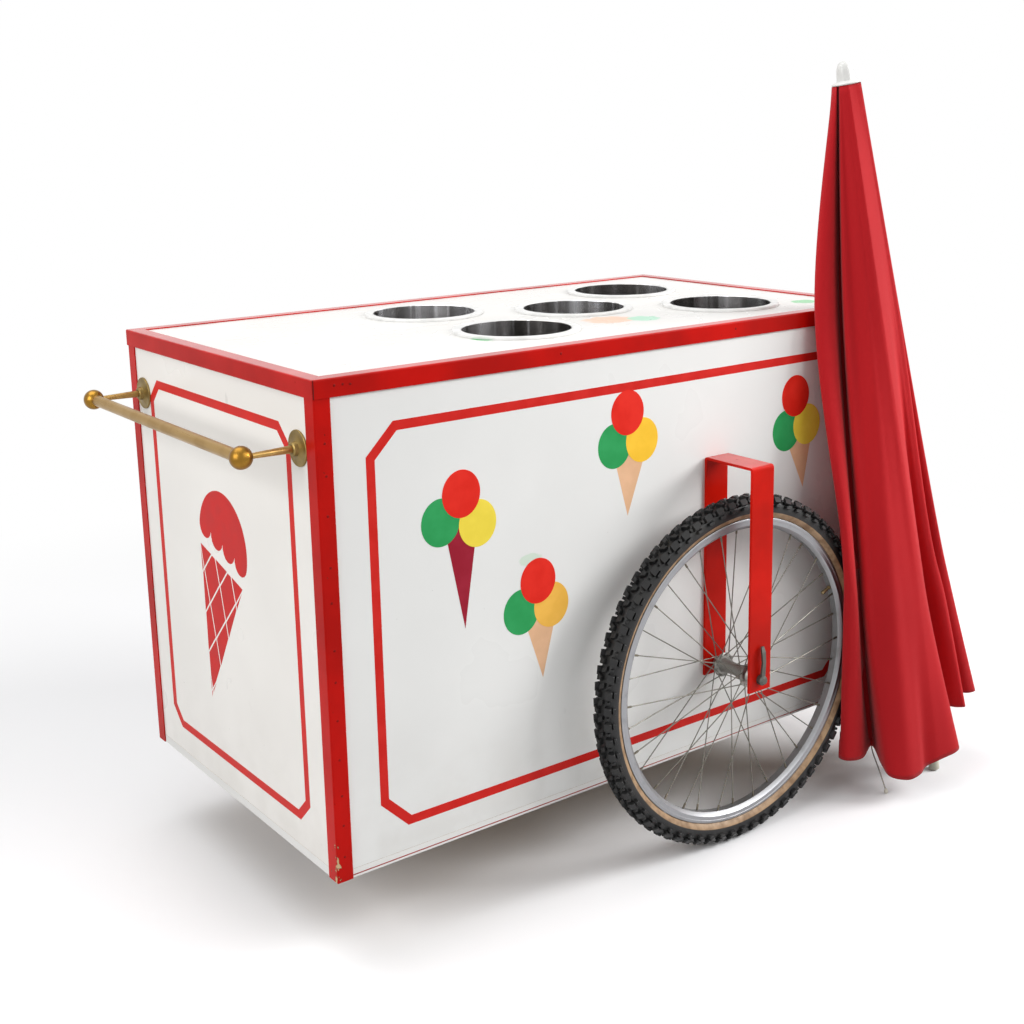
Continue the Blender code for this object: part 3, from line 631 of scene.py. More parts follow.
def box_figures():
    """Three plain scoops over a cone, four times, as cut film on the near side."""
    films = {key: vinyl("film_%s" % key, tone) for key, tone in film_tones.items()}
    meshes = {key: bmesh.new() for key in films}
    origin = on_cart(0, side_face, 0)
    for red, green, yellow, tip, left_edge, right_edge, yellow_tone, cone_tone in figures:
        foot = Vector(tip)
        edges = (left_edge, right_edge)
        cone = [foot + (Vector(edge) - foot) * cone_under_share for edge in edges] + [foot]
        add_plate(meshes[cone_tone], cone, origin, forward, upright, film)
        for key, (du, dv), layers in (("green", green, 2), (yellow_tone, yellow, 3), ("red", (0, 0), 4)):
            disc = circle(red[0] + du, red[1] + dv, scoop_width, scoop_height)
            add_plate(meshes[key], disc, origin, forward, upright, film * layers)
    for key, mesh in meshes.items():
        made("side_film_%s" % key, mesh, films[key])


# Film on the handle end: one plain scoop over a waffle cone, leaning, at the middle of the panel
figure_middle = (0.362, 0.610)
figure_lean = math.radians(-16)
figure_scoop = 0.092
scoop_waves = 4
figure_cone = (0.084, 0.290)
waffle = 0.054
waffle_turn = math.radians(30)
waffle_lines = 5
waffle_gap = 0.005
figure_gap = 0.012


def end_figure():
    """A generic scoop and waffle cone cut from one red film, on the handle end."""
    mesh = bmesh.new()
    half, length = figure_cone
    cone = ((-half, -figure_gap), (0, -length), (half, -figure_gap))
    mesh.faces.new([mesh.verts.new((u, v, 0)) for u, v in cone])
    for way in (-1, 1):
        across = Vector((math.cos(waffle_turn), way * math.sin(waffle_turn), 0))
        for line in range(-waffle_lines, waffle_lines + 1):
            bmesh.ops.bisect_plane(mesh, geom=mesh.verts[:] + mesh.edges[:] + mesh.faces[:],
                                   plane_co=across * waffle * (line + 0.5), plane_no=across)
    rims = bmesh.ops.inset_individual(mesh, faces=mesh.faces[:], thickness=waffle_gap / 2)["faces"]
    bmesh.ops.delete(mesh, geom=rims, context="FACES")
    wave = figure_scoop / scoop_waves
    low = wave + figure_gap / 2
    scoop = [(u, v + low) for u, v in arc(0, 0, figure_scoop, 0, 180, 32)]
    for step in range(scoop_waves):
        scoop += arc(wave * (2 * step + 1 - scoop_waves), low, wave, 180, 360, 8)[1:]
    mesh.faces.new([mesh.verts.new((u, v, 0)) for u, v in scoop])
    thicken(mesh, film)
    loose = [vert for vert in mesh.verts if not vert.link_faces]
    bmesh.ops.delete(mesh, geom=loose, context="VERTS")
    stand = Matrix((-inward, upright, -forward)).transposed().to_4x4()
    place = Matrix.Translation(on_cart(end_face, *figure_middle))
    mesh.transform(place @ stand @ Matrix.Rotation(figure_lean, 4, "Z"))
    made("end_film_cone", mesh, vinyl("film_deep_red", (196, 30, 28)))


# The painted base line's foot and top, and its ends from the box's ends
base_line = (0.1668, 0.1686)
base_end = 0.030

# Painted shade in the open mitre joints of the lid's edge, as dark film: half its width, from the end, and
# from the trim's foot and top
mitre_gap = 0.0007
mitre_from_end = 0.0020
mitre_from_foot = 0.0004
mitre_from_top = 0.0006

# Nail heads: radius, and height over the face
nail_outline = ((0, 0.0007), (0.0012, 0.0006), (0.0019, 0.0003), (0.0022, -0.0002), (0, -0.0002))

# Nails up the posts, and along the lid's edge: their places, and how far they wander from them
nail_seed = 7
nail_line = 0.0165
nail_lowest = 0.205
nail_below_trim = 0.02
nail_pitch = (0.048, 0.082)
nail_wander = 0.0012
lid_nails = (0.037, 0.051, 0.064, 0.46, 0.86, box_length - 0.064, box_length - 0.037)
lid_nail_down = 0.0125
lid_nail_wander = 0.001


def box_details():
    """The painted base line, dark film painted as the shade in the open mitre joints of the lid's edge, and
    the nails of the edge angles.
    """
    line = bmesh.new()
    foot, top = base_line
    outline = rectangle(base_end, foot, box_length - base_end, top)
    add_plate(line, outline, on_cart(0, side_face, 0), forward, upright, film)
    add_plate(line, outline, on_cart(box_length, box_width - side_face, 0), -forward, upright, film)
    made("base_line", line, vinyl("line_red", (150, 34, 34)))
    # Dark film in each open mitre joint stands for the shade in the gap: painted shade
    mitre_shade_film = bmesh.new()
    outline = rectangle(-mitre_gap, trim_low.z + mitre_from_foot, mitre_gap, lid_top - mitre_from_top)
    for x in (mitre_from_end, box_length - mitre_from_end):
        add_plate(mitre_shade_film, outline, on_cart(x, 0, 0), forward, upright, film)
        add_plate(mitre_shade_film, outline, on_cart(x, box_width, 0), -forward, upright, film)
    made("mitre_painted_shade", mitre_shade_film, vinyl("mitre_shade_dark", (52, 14, 12)))
    pick = random.Random(nail_seed)
    nails = bmesh.new()

    def add_nail(way, *spot):
        head = [(radius, way * along) for radius, along in nail_outline]
        add_turned(nails, head, "Y", on_cart(*spot), 12)

    post_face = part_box("corner_post_near_handle")[0].y - corner.y
    for x in (nail_line, box_length - nail_line):
        for y, way in ((post_face, -1), (box_width - post_face, 1)):
            height = nail_lowest
            while height < trim_low.z - nail_below_trim:
                add_nail(way, x + pick.uniform(-nail_wander, nail_wander), y, height)
                height += pick.uniform(*nail_pitch)
    for y, way in ((0, -1), (box_width, 1)):
        for x in lid_nails:
            add_nail(way, x, y, lid_top - lid_nail_down + pick.uniform(-lid_nail_wander, lid_nail_wander))
    made("nail_heads", nails, painted("nail_red", (142, 20, 16)))


# Wells: the cup's wall, bore, rounded foot and drop under its ring, and what the ring covers of the lid
well_count = 5
cup_wall = 0.0012
cup_bore = 0.0975
cup_foot = 0.012
cup_sunk = 0.0004
ring_cover = 0.0119


def fine_lid():
    """The lid board with truly round mouths."""
    low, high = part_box("lid_panel")
    ring_low, ring_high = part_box("well_ring_1")
    hole = (ring_high.x - ring_low.x) / 2 - ring_cover
    mesh = bmesh.new()
    loops = [rectangle(low.x, low.y, high.x, high.y)]
    for index in range(1, well_count + 1):
        middle = middle_of("well_liner_%d" % index)
        loops.append(circle(middle.x, middle.y, hole, hole, fine))
    edges = []
    for loop in loops:
        verts = [mesh.verts.new((u, v, high.z)) for u, v in loop]
        edges += [mesh.edges.new(pair) for pair in zip(verts, verts[1:] + verts[:1])]
    bmesh.ops.triangle_fill(mesh, edges=edges, use_beauty=True)
    thicken(mesh, low.z)
    made("lid_board", mesh, lid_laminate(), node="lid_panel")


def fine_wells():
    """Steel cups with a rounded foot and a turned rim, each in its moulded mouth ring."""
    steel = well_steel()
    white = moulded("ring_white", (226, 226, 224), 0.30)
    for index in range(1, well_count + 1):
        liner, collar = "well_liner_%d" % index, "well_ring_%d" % index
        low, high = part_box(liner)
        ring_low, ring_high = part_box(collar)
        middle = middle_of(liner)
        middle.z = 0
        flange = (high.x - low.x) / 2
        outside = cup_bore + cup_wall
        foot = (cup_bore - cup_foot, low.z + cup_wall + cup_foot)
        rim = ring_high.z - cup_sunk
        half = cup_wall / 2
        cup = [(0, low.z + cup_wall)] + arc(*foot, cup_foot, -90, 0, 5)
        cup += [(cup_bore, rim - half), (cup_bore + half, rim), (outside, rim - half), (outside, high.z)]
        cup += [(flange, high.z), (flange, high.z - cup_wall), (outside, high.z - cup_wall)]
        cup += arc(*foot, cup_foot + cup_wall, 0, -90, 5) + [(0, low.z)]
        made("well_cup_%d" % index, turned(cup, "Z", middle), steel, node=liner)
        outer = (ring_high.x - ring_low.x) / 2
        seat = high.z + fit
        lip = (ring_high.z - seat) / 2
        bore = outside + fit
        ring = [(bore, seat)] + arc(bore + lip, seat + lip, lip, 180, 90, 4)
        ring += arc(outer - lip, seat + lip, lip, 90, 0, 4)
        ring += [(outer, ring_low.z), (flange + fit, ring_low.z), (flange + fit, seat)]
        made("well_mouth_%d" % index, turned(ring, "Z", middle), white, node=collar)


# Push rail: a post's radius at its ball as a share, and its collar
post_tip_share = 0.68
post_collar = 0.013

# Rosette: its rolled edge, the face inside it, its dish, and its steps and collar out from the post
rose_roll = 0.0012
rose_edge = 0.0018
rose_face = (0.0035, 0.0024)
rose_dish_share = 0.62
rose_dish = 0.0036
rose_steps = ((0.0075, 0.0044), (0.0056, 0.0052))
rose_collar = ((0.0044, 0.0016), (0.0026, 0), (0, 0))


def fine_handle():
    """Round brass rail between two balls, each on a tapered post out of a turned rosette."""
    rail_brass = metal("rail_brass", (172, 139, 83), 0.26, 0.3, (112, 84, 46), 120.0, (1.0, 0.05, 1.0))
    ball_brass = metal("ball_brass", (150, 111, 44), 0.22, 0.35, (112, 78, 30))
    # The rosettes take a darker, duller copy of the brass: painted shade
    shaded_rose_brass = metal("shaded_rose_brass", (150, 128, 78), 0.34, 0.5, (84, 70, 40))
    low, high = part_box("handle_rail")
    size = (high - low) / 2
    rail = [(0, -size.y), (size.z, -size.y), (size.z, size.y), (0, size.y)]
    rail = turned(rail, "Y", middle_of("handle_rail"), 48)
    made("push_rail", rail, rail_brass, node="handle_rail")
    for side in sides:
        ball, post, rose = ("handle_%s_%s" % (piece, side) for piece in ("ball", "post", "rosette"))
        low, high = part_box(ball)
        middle = middle_of(ball)
        size = (high.z - low.z) / 2
        outline = [(0, -size)] + arc(0, 0, size, -84, 84, 20) + [(0, size)]
        made("rail_ball_%s" % side, turned(outline, "X", middle, 48), ball_brass, node=ball)
        low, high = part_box(post)
        foot, tip = high.x - middle.x, low.x - middle.x
        wide = (high.z - low.z) / 2
        outline = [(0, tip), (wide * post_tip_share, tip)]
        outline += [(wide, foot - post_collar), (wide, foot), (0, foot)]
        made("rail_post_%s" % side, turned(outline, "X", middle, 40), rail_brass, node=post)
        low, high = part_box(rose)
        wall, front = high.x - middle.x, low.x - middle.x
        big = (high.z - low.z) / 2
        bore = wide + fit
        outline = [(bore, wall), (big, wall)]
        outline += arc(big - rose_roll, wall - rose_edge, rose_roll, 0, -90, 4)
        outline += [(big - rose_face[0], wall - rose_face[1]), (big * rose_dish_share, wall - rose_dish)]
        outline += [(bore + out, wall - rise) for out, rise in rose_steps]
        outline += [(bore + out, front + back) for out, back in rose_collar]
        made("rail_rose_%s" % side, turned(outline, "X", middle, 56), shaded_rose_brass, node=rose)


# Rim: half its outline from the tyre's bed to its inner edge, as steps in from its radius and its flank,
# where grey oxide starts and is full, and the lathe's rings, in radians a metre
rim_radius = 0.289
rim_half = 0.0134
rim_outline = ((0.0075, 0.0060), (0.0060, 0.0042), (0, 0.0030), (0, 0.0006), (0.0012, 0), (0.0050, 0),
               (0.0056, 0.0004), (0.0125, 0.0006), (0.0132, 0.0012), (0.0178, 0.0052), (0.0190, 0.0068))
rim_inner = rim_radius - rim_outline[-1][0]
rim_oxide = (0.012, 0.017)
lathe_rate = 5200.0

# Tyre: where its bead sits, how far its walls stay inside its width, the tan wall's reach and soft edge
bead_radius = rim_radius + 0.0009
wall_inset = 0.0020
tan_reach = (-0.004, 0.0105)
tan_edge = 0.0012
tyre_segments = 140

# Half the tyre's section from crown to bead: half width and height, as shares of its own
tyre_shares = ((0.0, 1.0), (0.34, 0.985), (0.66, 0.90), (0.88, 0.74),
               (0.97, 0.50), (0.94, 0.30), (0.78, 0.13), (0.60, 0.0))

# Tread blocks on one pitch, as shares of the section and the pitch, and of the tallest block:
# start and end across, start and end along, skew, height
pitch_count = 70
block_height = 0.0076
block_sunk = 0.0008
block_taper = 0.16
block_edge = 0.0006
block_shares = (
    (-0.17, 0.02, 0.02, 0.34, 0.20, 1.0),
    (0.00, 0.19, 0.50, 0.82, -0.20, 1.0),
    (0.21, 0.41, 0.10, 0.70, 0.10, 1.0),
    (-0.41, -0.21, 0.36, 0.96, -0.10, 1.0),
    (0.435, 0.53, 0.16, 0.62, 0.05, 0.8),
    (-0.53, -0.435, 0.42, 0.88, -0.05, 0.8),
    (0.26, 0.36, 0.78, 0.98, 0.0, 0.7),
    (-0.36, -0.26, 0.04, 0.24, 0.0, 0.7),
)

# Hub: the middle of its flange, and half its outline from its end to its middle, as radius and place along
hub_flange = 0.033
hub_outline = ((0.0057, 0.052), (0.0088, 0.052), (0.0095, 0.0505), (0.0095, 0.044), (0.0128, 0.039),
               (0.0140, 0.0360), (0.0215, 0.0352), (0.0230, 0.0340), (0.0230, 0.0320), (0.0215, 0.0308),
               (0.0140, 0.0302), (0.0128, 0.027), (0.0112, 0.004))

# Spokes: wire, holes in the flange, how far bend and elbow lie off it, and foot and nipple in the rim
spoke_count = 36
spoke_crossings = 3
spoke_radius = 0.00105
spoke_hole = 0.0188
spoke_off = 0.0032
elbow_off = 0.0034
elbow_share = 0.25
bend_length = 0.0016
foot_off = 0.0036
foot_sunk = 0.0015
nipple_length = 0.0125
nipple_neck = 0.0008
nipple_radii = (0.0014, 0.0019, 0.0019)

# Valve: its turn on the wheel, and its steps: how far in from the rim, and radius
valve_turn = math.radians(23)
valve_steps = ((-0.004, 0.0040), (0.002, 0.0040), (0.0025, 0.0030), (0.014, 0.0030),
               (0.0145, 0.0036), (0.020, 0.0036), (0.021, 0.0026))


def wheel_frame(side):
    """A wheel's middle, radius and half width, from its tyre."""
    low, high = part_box("tyre_%s" % side)
    return middle_of("tyre_%s" % side), (high.x - low.x) / 2, (high.y - low.y) / 2


def fine_tyre(side):
    """Turned carcass under rows of separate tread blocks."""
    centre, radius, half = wheel_frame(side)
    tall = radius - block_height - bead_radius
    wide = half - wall_inset
    shares = [Vector(share) for share in tyre_shares]
    shares = spline([Vector((-w, h)) for w, h in reversed(shares[1:])] + shares, 3)
    section = [Vector((bead_radius + tall * h, wide * w)) for w, h in shares]
    reach = len(section) - 1

    def on_section(share):
        """Radius and place along, from -1 at one bead to 1 at the other."""
        at = (share + 1) / 2 * reach
        index = min(int(at), reach - 1)
        return section[index].lerp(section[index + 1], at - index)

    def on_tread(across, turn, lift):
        """A place over the carcass, lifted square to it but never past the tyre's radius."""
        slope = on_section(across + 0.01) - on_section(across - 0.01)
        radial, along = on_section(across) + Vector((slope.y, -slope.x)).normalized() * lift
        return centre + about("Y", min(radial, radius), turn, along)

    mesh = bmesh.new()
    add_turned(mesh, section, "Y", centre, tyre_segments)
    pitch = 2 * math.pi / pitch_count
    for step in range(pitch_count):
        for start, end, first, last, skew, high in block_shares:
            middle_s, middle_t = (start + end) / 2, (first + last) / 2
            across = (start, middle_s, end)
            outline = [(s, first) for s in across] + [(s, last) for s in reversed(across)]
            outline = [(s, t + skew * (s - middle_s) / (end - start)) for s, t in outline]
            rings = []
            for lift, pull in ((-block_sunk, 0.0), (block_height * high, block_taper)):
                pulled = [(s + (middle_s - s) * pull, t + (middle_t - t) * pull) for s, t in outline]
                rings.append([on_tread(s, pitch * (step + t), lift) for s, t in pulled])
            add_prism(mesh, rings)
    rubber = tyre_rubber("tread_%s" % side, centre, *(bead_radius + reach for reach in tan_reach))
    tyre = made("tread_tyre_%s" % side, mesh, rubber, "wheel_%s" % side, 40, "tyre_%s" % side)
    rounded(tyre, block_edge, 1, 45)


def add_spokes(spokes, nipples, centre):
    """Laced spokes, three crossings, each bent at its flange and ending in a nipple."""
    per_flange = spoke_count // 2
    step = 2 * math.pi / per_flange
    for way in (-1, 1):
        for index in range(per_flange):
            slant = 1 if index % 2 else -1
            start_turn = step * index + (step / 2 if way > 0 else 0)
            end_turn = start_turn + slant * spoke_crossings * step
            elbow = centre + about("Y", spoke_hole, start_turn, way * (hub_flange - slant * elbow_off))
            bend = centre + about("Y", spoke_hole, start_turn, way * (hub_flange + slant * spoke_off))
            foot = centre + about("Y", rim_inner + foot_sunk, end_turn, way * foot_off)
            along = (foot - bend).normalized()
            path = [elbow, bend.lerp(elbow, elbow_share), bend + along * bend_length, foot]
            add_tube(spokes, path, [spoke_radius] * len(path))
            top = foot - along * nipple_length
            add_tube(nipples, [top, top + along * nipple_neck, foot], nipple_radii)


def fine_wheels():
    """Both wheels: tyre, rim, hub, spokes with their nipples, and valve."""
    hub_metal = metal("hub_metal", (156, 155, 150), 0.42, 0.3, (60, 56, 50), 200.0, (1.0, 6.0, 1.0))
    wire = metal("spoke_wire", (128, 126, 118), 0.34, 0.4, (70, 66, 58))
    nipple_brass = metal("spoke_nipple", (110, 104, 92), 0.42)
    valve_brass = metal("valve_brass", (150, 132, 96), 0.36)
    rim_half_outline = [(rim_radius - down, rim_half - aside) for down, aside in rim_outline]
    for side in sides:
        body = "wheel_%s" % side
        centre, _, _ = wheel_frame(side)
        fine_tyre(side)
        rim = turned(mirrored(rim_half_outline), "Y", centre, 180)
        rim_finish = rim_metal("rim_metal_%s" % side, centre)
        made("rim_%s" % side, rim, rim_finish, body, 30, "wire_wheel_%s" % side)
        hub = turned(mirrored(hub_outline), "Y", centre, 48)
        made("hub_%s" % side, hub, hub_metal, body)
        spokes, nipples, valve = bmesh.new(), bmesh.new(), bmesh.new()
        add_spokes(spokes, nipples, centre)
        made("spokes_%s" % side, spokes, wire, body)
        made("nipples_%s" % side, nipples, nipple_brass, body)
        depths, radii = zip(*valve_steps)
        stem = [centre + about("Y", rim_inner - depth, valve_turn, 0) for depth in depths]
        add_tube(valve, stem, radii, 16)
        made("valve_%s" % side, valve, valve_brass, body)


# Parasol: its line from foot to top, its pole, and the plug in the pole's foot, as steps in and up
pole_low = Vector((box_length + 0.0695, -0.119, 0.002))
pole_high = Vector((box_length - 0.1485, -0.0105, 1.4225))
pole_along = (pole_high - pole_low).normalized()
pole_length = (pole_high - pole_low).length
pole_radius = 0.0110
pole_in_cap = 0.024
foot_crown = 0.0006
foot_plug = ((0.0024, 0), (0.0004, 0.0012), (0, 0.003), (0, 0.030), (0.0006, 0.0304))
pole_step = 0.0006

# Cap: its outline of radius and height from the pole up to its tip, and its flutes
cap_height = 0.042
cap_bore = pole_radius + fit
cap_outline = ((0, 0.024), (cap_bore, 0.020), (cap_bore, 0), (0.0256, 0), (0.0268, 0.0011),
               (0.0268, 0.0024), (0.0258, 0.0034), (0.0190, 0.0054), (0.0172, 0.0070), (0.0168, 0.0150),
               (0.0160, 0.0240), (0.0144, 0.0310), (0.0114, 0.0370), (0.0072, 0.0408), (0, cap_height))
flute_count = 8
flute_share = 0.045
flutes_from = 0.006
flutes_outside = pole_radius + 0.001

# One rib's wire from the hem to the ground, and its moulded tip
rib_route = ((1.216, -0.050, 0.125), (1.212, -0.054, 0.098), (1.2005, -0.0635, 0.066),
             (1.182, -0.100, 0.035), (1.1693, -0.1283, 0.0062))
rib_radius = 0.0013
tip_half = 0.0056
tip_bead = (-0.0012, 0.0042)
tip_mouth = (0.0020, 0.0050)

# Canopy: spread of its folds, lowest hem, neck under the cap, room to the lid's edge and to the tyre
canopy_spread = 0.200
hem_lowest = 0.050
neck_gap = 0.0007
lid_gap = 0.0012
lid_end_gap = 0.001
tyre_gap = 0.0055
near_tyre = wheel_frame("near")
canopy_height_shares = (0.372, 0.558)
fold_rows = 66
fold_steps = 7

# Cloth: its cut size, area and thickness, the hem's seam, its threads, in radians a metre, and the
# stitches on a metre
canopy_cut = (2.0, 1.33)
cloth_thickness = 0.0007
seam_height = 0.011
seam_half = (0.0016, 0.0006)
thread_rate = 5200.0
stitch_count = 330.0

# Each fold's hem height, then its places round the pole at the hem, two heights, the lid and the neck,
# all as shares: forward and outward of the spread
fold_shares = (
    (1.70, (-1.18, -0.18), (-1.04, -0.01), (-0.97, 0.06), (-0.67, -0.15), (-0.110, -0.060)),
    (1.70, (-1.17, -0.07), (-1.02, 0.07), (-0.95, 0.13), (-0.65, -0.07), (-0.125, -0.020)),
    (1.62, (-0.98, -0.05), (-0.90, 0.07), (-0.84, 0.09), (-0.52, -0.05), (-0.126, -0.005)),
    (1.40, (-0.60, -0.26), (-0.58, -0.24), (-0.49, -0.22), (-0.26, -0.19), (-0.070, -0.040)),
    (1.30, (-0.84, 0.06), (-0.82, 0.09), (-0.74, 0.09), (-0.46, 0.02), (-0.118, 0.020)),
    (1.10, (-0.90, 0.21), (-0.78, 0.19), (-0.69, 0.19), (-0.39, 0.09), (-0.120, 0.040)),
    (1.00, (-0.78, 0.33), (-0.68, 0.32), (-0.60, 0.30), (-0.37, 0.20), (-0.110, 0.060)),
    (1.08, (-0.62, 0.35), (-0.54, 0.35), (-0.49, 0.33), (-0.33, 0.24), (-0.100, 0.075)),
    (1.24, (-0.50, 0.33), (-0.43, 0.37), (-0.39, 0.35), (-0.30, 0.27), (-0.092, 0.086)),
    (1.50, (-0.36, 0.41), (-0.33, 0.39), (-0.32, 0.37), (-0.27, 0.29), (-0.088, 0.096)),
    (1.76, (-0.13, 0.46), (-0.21, 0.37), (-0.24, 0.35), (-0.24, 0.29), (-0.080, 0.100)),
    (2.10, (-0.02, 0.28), (-0.08, 0.25), (-0.10, 0.25), (-0.13, 0.25), (-0.045, 0.104)),
    (2.40, (0.27, -0.09), (0.18, -0.04), (0.10, 0.04), (0.00, 0.19), (-0.012, 0.112)),
    (2.52, (0.36, 0.10), (0.25, 0.12), (0.16, 0.11), (0.07, 0.17), (0.015, 0.122)),
    (2.56, (0.45, 0.13), (0.35, 0.13), (0.24, 0.12), (0.14, 0.16), (0.040, 0.120)),
    (2.62, (0.58, -0.16), (0.41, -0.12), (0.30, -0.09), (0.15, -0.02), (0.052, 0.050)),
    (2.72, (0.66, 0.01), (0.46, 0.04), (0.34, 0.07), (0.19, 0.09), (0.084, 0.086)),
    (2.74, (0.77, 0.02), (0.55, 0.06), (0.40, 0.09), (0.23, 0.09), (0.104, 0.072)),
    (2.66, (0.66, -0.14), (0.46, -0.08), (0.34, -0.04), (0.18, -0.01), (0.098, 0.024)),
    (2.60, (0.74, -0.27), (0.51, -0.19), (0.38, -0.13), (0.21, -0.09), (0.122, -0.030)),
    (2.48, (0.46, -0.30), (0.30, -0.22), (0.21, -0.17), (0.12, -0.13), (0.088, -0.056)),
    (2.40, (0.50, -0.50), (0.32, -0.35), (0.23, -0.27), (0.17, -0.24), (0.090, -0.090)),
    (2.30, (0.20, -0.34), (0.12, -0.24), (0.07, -0.18), (0.06, -0.17), (0.052, -0.098)),
    (2.20, (0.01, -0.52), (-0.04, -0.37), (-0.08, -0.27), (0.00, -0.26), (0.030, -0.124)),
    (2.10, (-0.18, -0.28), (-0.18, -0.14), (-0.20, -0.10), (-0.06, -0.18), (-0.002, -0.106)),
    (2.00, (-0.45, -0.40), (-0.40, -0.17), (-0.38, -0.12), (-0.16, -0.25), (-0.030, -0.125)),
    (1.84, (-0.58, -0.22), (-0.55, -0.04), (-0.51, -0.02), (-0.26, -0.14), (-0.052, -0.098)),
    (1.74, (-0.86, -0.32), (-0.80, -0.06), (-0.72, -0.04), (-0.44, -0.23), (-0.078, -0.104)),
    (1.72, (-1.04, -0.26), (-0.94, -0.04), (-0.86, 0.01), (-0.58, -0.21), (-0.094, -0.086)),
)


def pole_at(height):
    return corner + pole_low + pole_along * ((height - pole_low.z) / pole_along.z)


def at_neck(offset):
    """A place under the cap's flange, square to the pole."""
    middle = pole_low + pole_along * (pole_length - cap_height - neck_gap)
    fall = (offset.x * pole_along.x + offset.y * pole_along.y) / pole_along.z
    return corner + middle + offset - upright * fall


def stood_on_pole(mesh, along):
    """Turns a shape made about Z on to the pole's line, raised along it."""
    turn = upright.rotation_difference(pole_along).to_matrix().to_4x4()
    mesh.transform(Matrix.Translation(corner + pole_low + pole_along * along) @ turn)
    return mesh


def fine_pole():
    """The pole as one round tube with a plug in its foot, and its moulded cap with flange and flutes."""
    top = pole_length - pole_in_cap
    tube = [(0, foot_crown)] + [(pole_radius - inset, height) for inset, height in foot_plug]
    mesh = turned(tube + [(pole_radius - pole_step, top), (0, top)], "Z", Vector(), 40)
    enamel = moulded("pole_enamel", (206, 202, 184), 0.34)
    made("pole_tube", stood_on_pole(mesh, 0), enamel, node="parasol_pole")
    mesh = turned(cap_outline, "Z", Vector(), 64)
    for vert in mesh.verts:
        if vert.co.z > flutes_from and vert.co.xy.length > flutes_outside:
            flute = 0.5 + 0.5 * math.cos(flute_count * math.atan2(vert.co.y, vert.co.x))
            vert.co.xy *= 1 - flute_share * flute
    stood_on_pole(mesh, pole_length - cap_height)
    plastic = moulded("cap_plastic", (224, 224, 221), 0.30)
    made("pole_cap", mesh, plastic, node="parasol_cap")


def rib_end():
    """One rib's wire that has slipped out of the hem, with its moulded tip on the ground."""
    mesh = bmesh.new()
    route = spline([on_cart(*place) for place in rib_route], 5)
    add_tube(mesh, route, [rib_radius] * len(route), 10)
    made("rib_wire", mesh, metal("rib_steel", (150, 146, 138), 0.36))
    bead = [(0, -tip_half)] + arc(0, *tip_bead, -80, 40, 8) + [tip_mouth, (0, tip_half)]
    plastic = moulded("tip_plastic", (214, 208, 194), 0.4)
    made("rib_tip", turned(bead, "Z", on_cart(*rib_route[-1]), 24), plastic)


def kept_clear(point):
    """Cloth lies against the lid's edge and keeps outside the tyre's path."""
    here = point - corner
    if here.z <= lid_top + lid_gap and here.x <= box_length + lid_end_gap:
        here.y = min(here.y, -lid_gap)
    centre, radius, half = near_tyre
    if math.hypot(point.x - centre.x, point.z - centre.z) < radius + tyre_gap:
        here.y = min(here.y, centre.y - half - tyre_gap - corner.y)
    return corner + here


def canopy_rings():
    """Rings round the pole from hem to neck, smooth across the folds and up each of them."""
    folds = []
    for hem_share, *places in fold_shares:
        heights = [hem_lowest * hem_share] + [lid_top * share for share in canopy_height_shares] + [lid_top]
        offsets = [Vector((ahead, -outward, 0)) * canopy_spread for ahead, outward in places]
        fold = [pole_at(height) + offset for height, offset in zip(heights, offsets)]
        folds.append(fold + [at_neck(offsets[-1])])
    levels = len(folds[0]) - 1
    rings = []
    for row in range(fold_rows + 1):
        at = row / fold_rows * levels
        index = min(int(at), levels - 1)
        crests = [on_spline(points, index, at - index) for points in folds]
        rings.append([kept_clear(point) for point in spline(crests, fold_steps, closed=True)])
    return rings


def cloth_canopy():
    """The furled canopy: one thin sheet, pleated round its pole from hem to neck."""
    mesh = bmesh.new()
    uv = mesh.loops.layers.uv.new("cloth")
    rings = canopy_rings()
    count = len(rings[0])
    verts = [[mesh.verts.new(point) for point in ring] for ring in rings]
    for row in range(fold_rows):
        ring = rings[row]
        length = sum((ring[(i + 1) % count] - ring[i]).length for i in range(count))
        for i in range(count):
            steps = ((i, row), (i + 1, row), (i + 1, row + 1), (i, row + 1))
            face = mesh.faces.new([verts[level][step % count] for step, level in steps])
            for loop, (step, level) in zip(face.loops, steps):
                loop[uv].uv = (step / count * length, level / fold_rows * canopy_cut[1])
    canopy = made("canopy_cloth", mesh, red_cotton(), angle=180, node="parasol_canopy")
    shell = canopy.modifiers.new("cloth", "SOLIDIFY")
    shell.thickness = cloth_thickness
    shell.offset = 0


# Camera, floor and light

def set_camera():
    """The photo's own camera, fitted to the cart."""
    scene = bpy.context.scene
    scene.view_settings.view_transform = "Standard"
    camera = placed("camera", bpy.data.cameras.new("camera"))
    scene.camera = camera
    camera.data.lens = camera_lens
    camera.data.sensor_width = camera_sensor
    camera.data.shift_x, camera.data.shift_y = camera_shift
    camera.data.clip_end = camera_far
    flat = math.cos(camera_pitch)
    ahead = Vector((math.cos(camera_yaw) * flat, math.sin(camera_yaw) * flat, -math.sin(camera_pitch)))
    level = Vector((math.sin(camera_yaw), -math.cos(camera_yaw), 0))
    above = level.cross(ahead)
    right = level * math.cos(camera_roll) + above * math.sin(camera_roll)
    up = above * math.cos(camera_roll) - level * math.sin(camera_roll)
    turn = Matrix((right, up, -ahead)).transposed().to_4x4()
    camera.matrix_world = Matrix.Translation(corner + camera_place) @ turn


def seen_directly(finish):
    """One for what the camera, a mirror or clear glass sees; zero for light that bounces about."""
    rays = finish.parts("LightPath")
    return rays["Is Camera Ray"].highest(rays["Is Glossy Ray"].highest(rays["Is Transmission Ray"]))


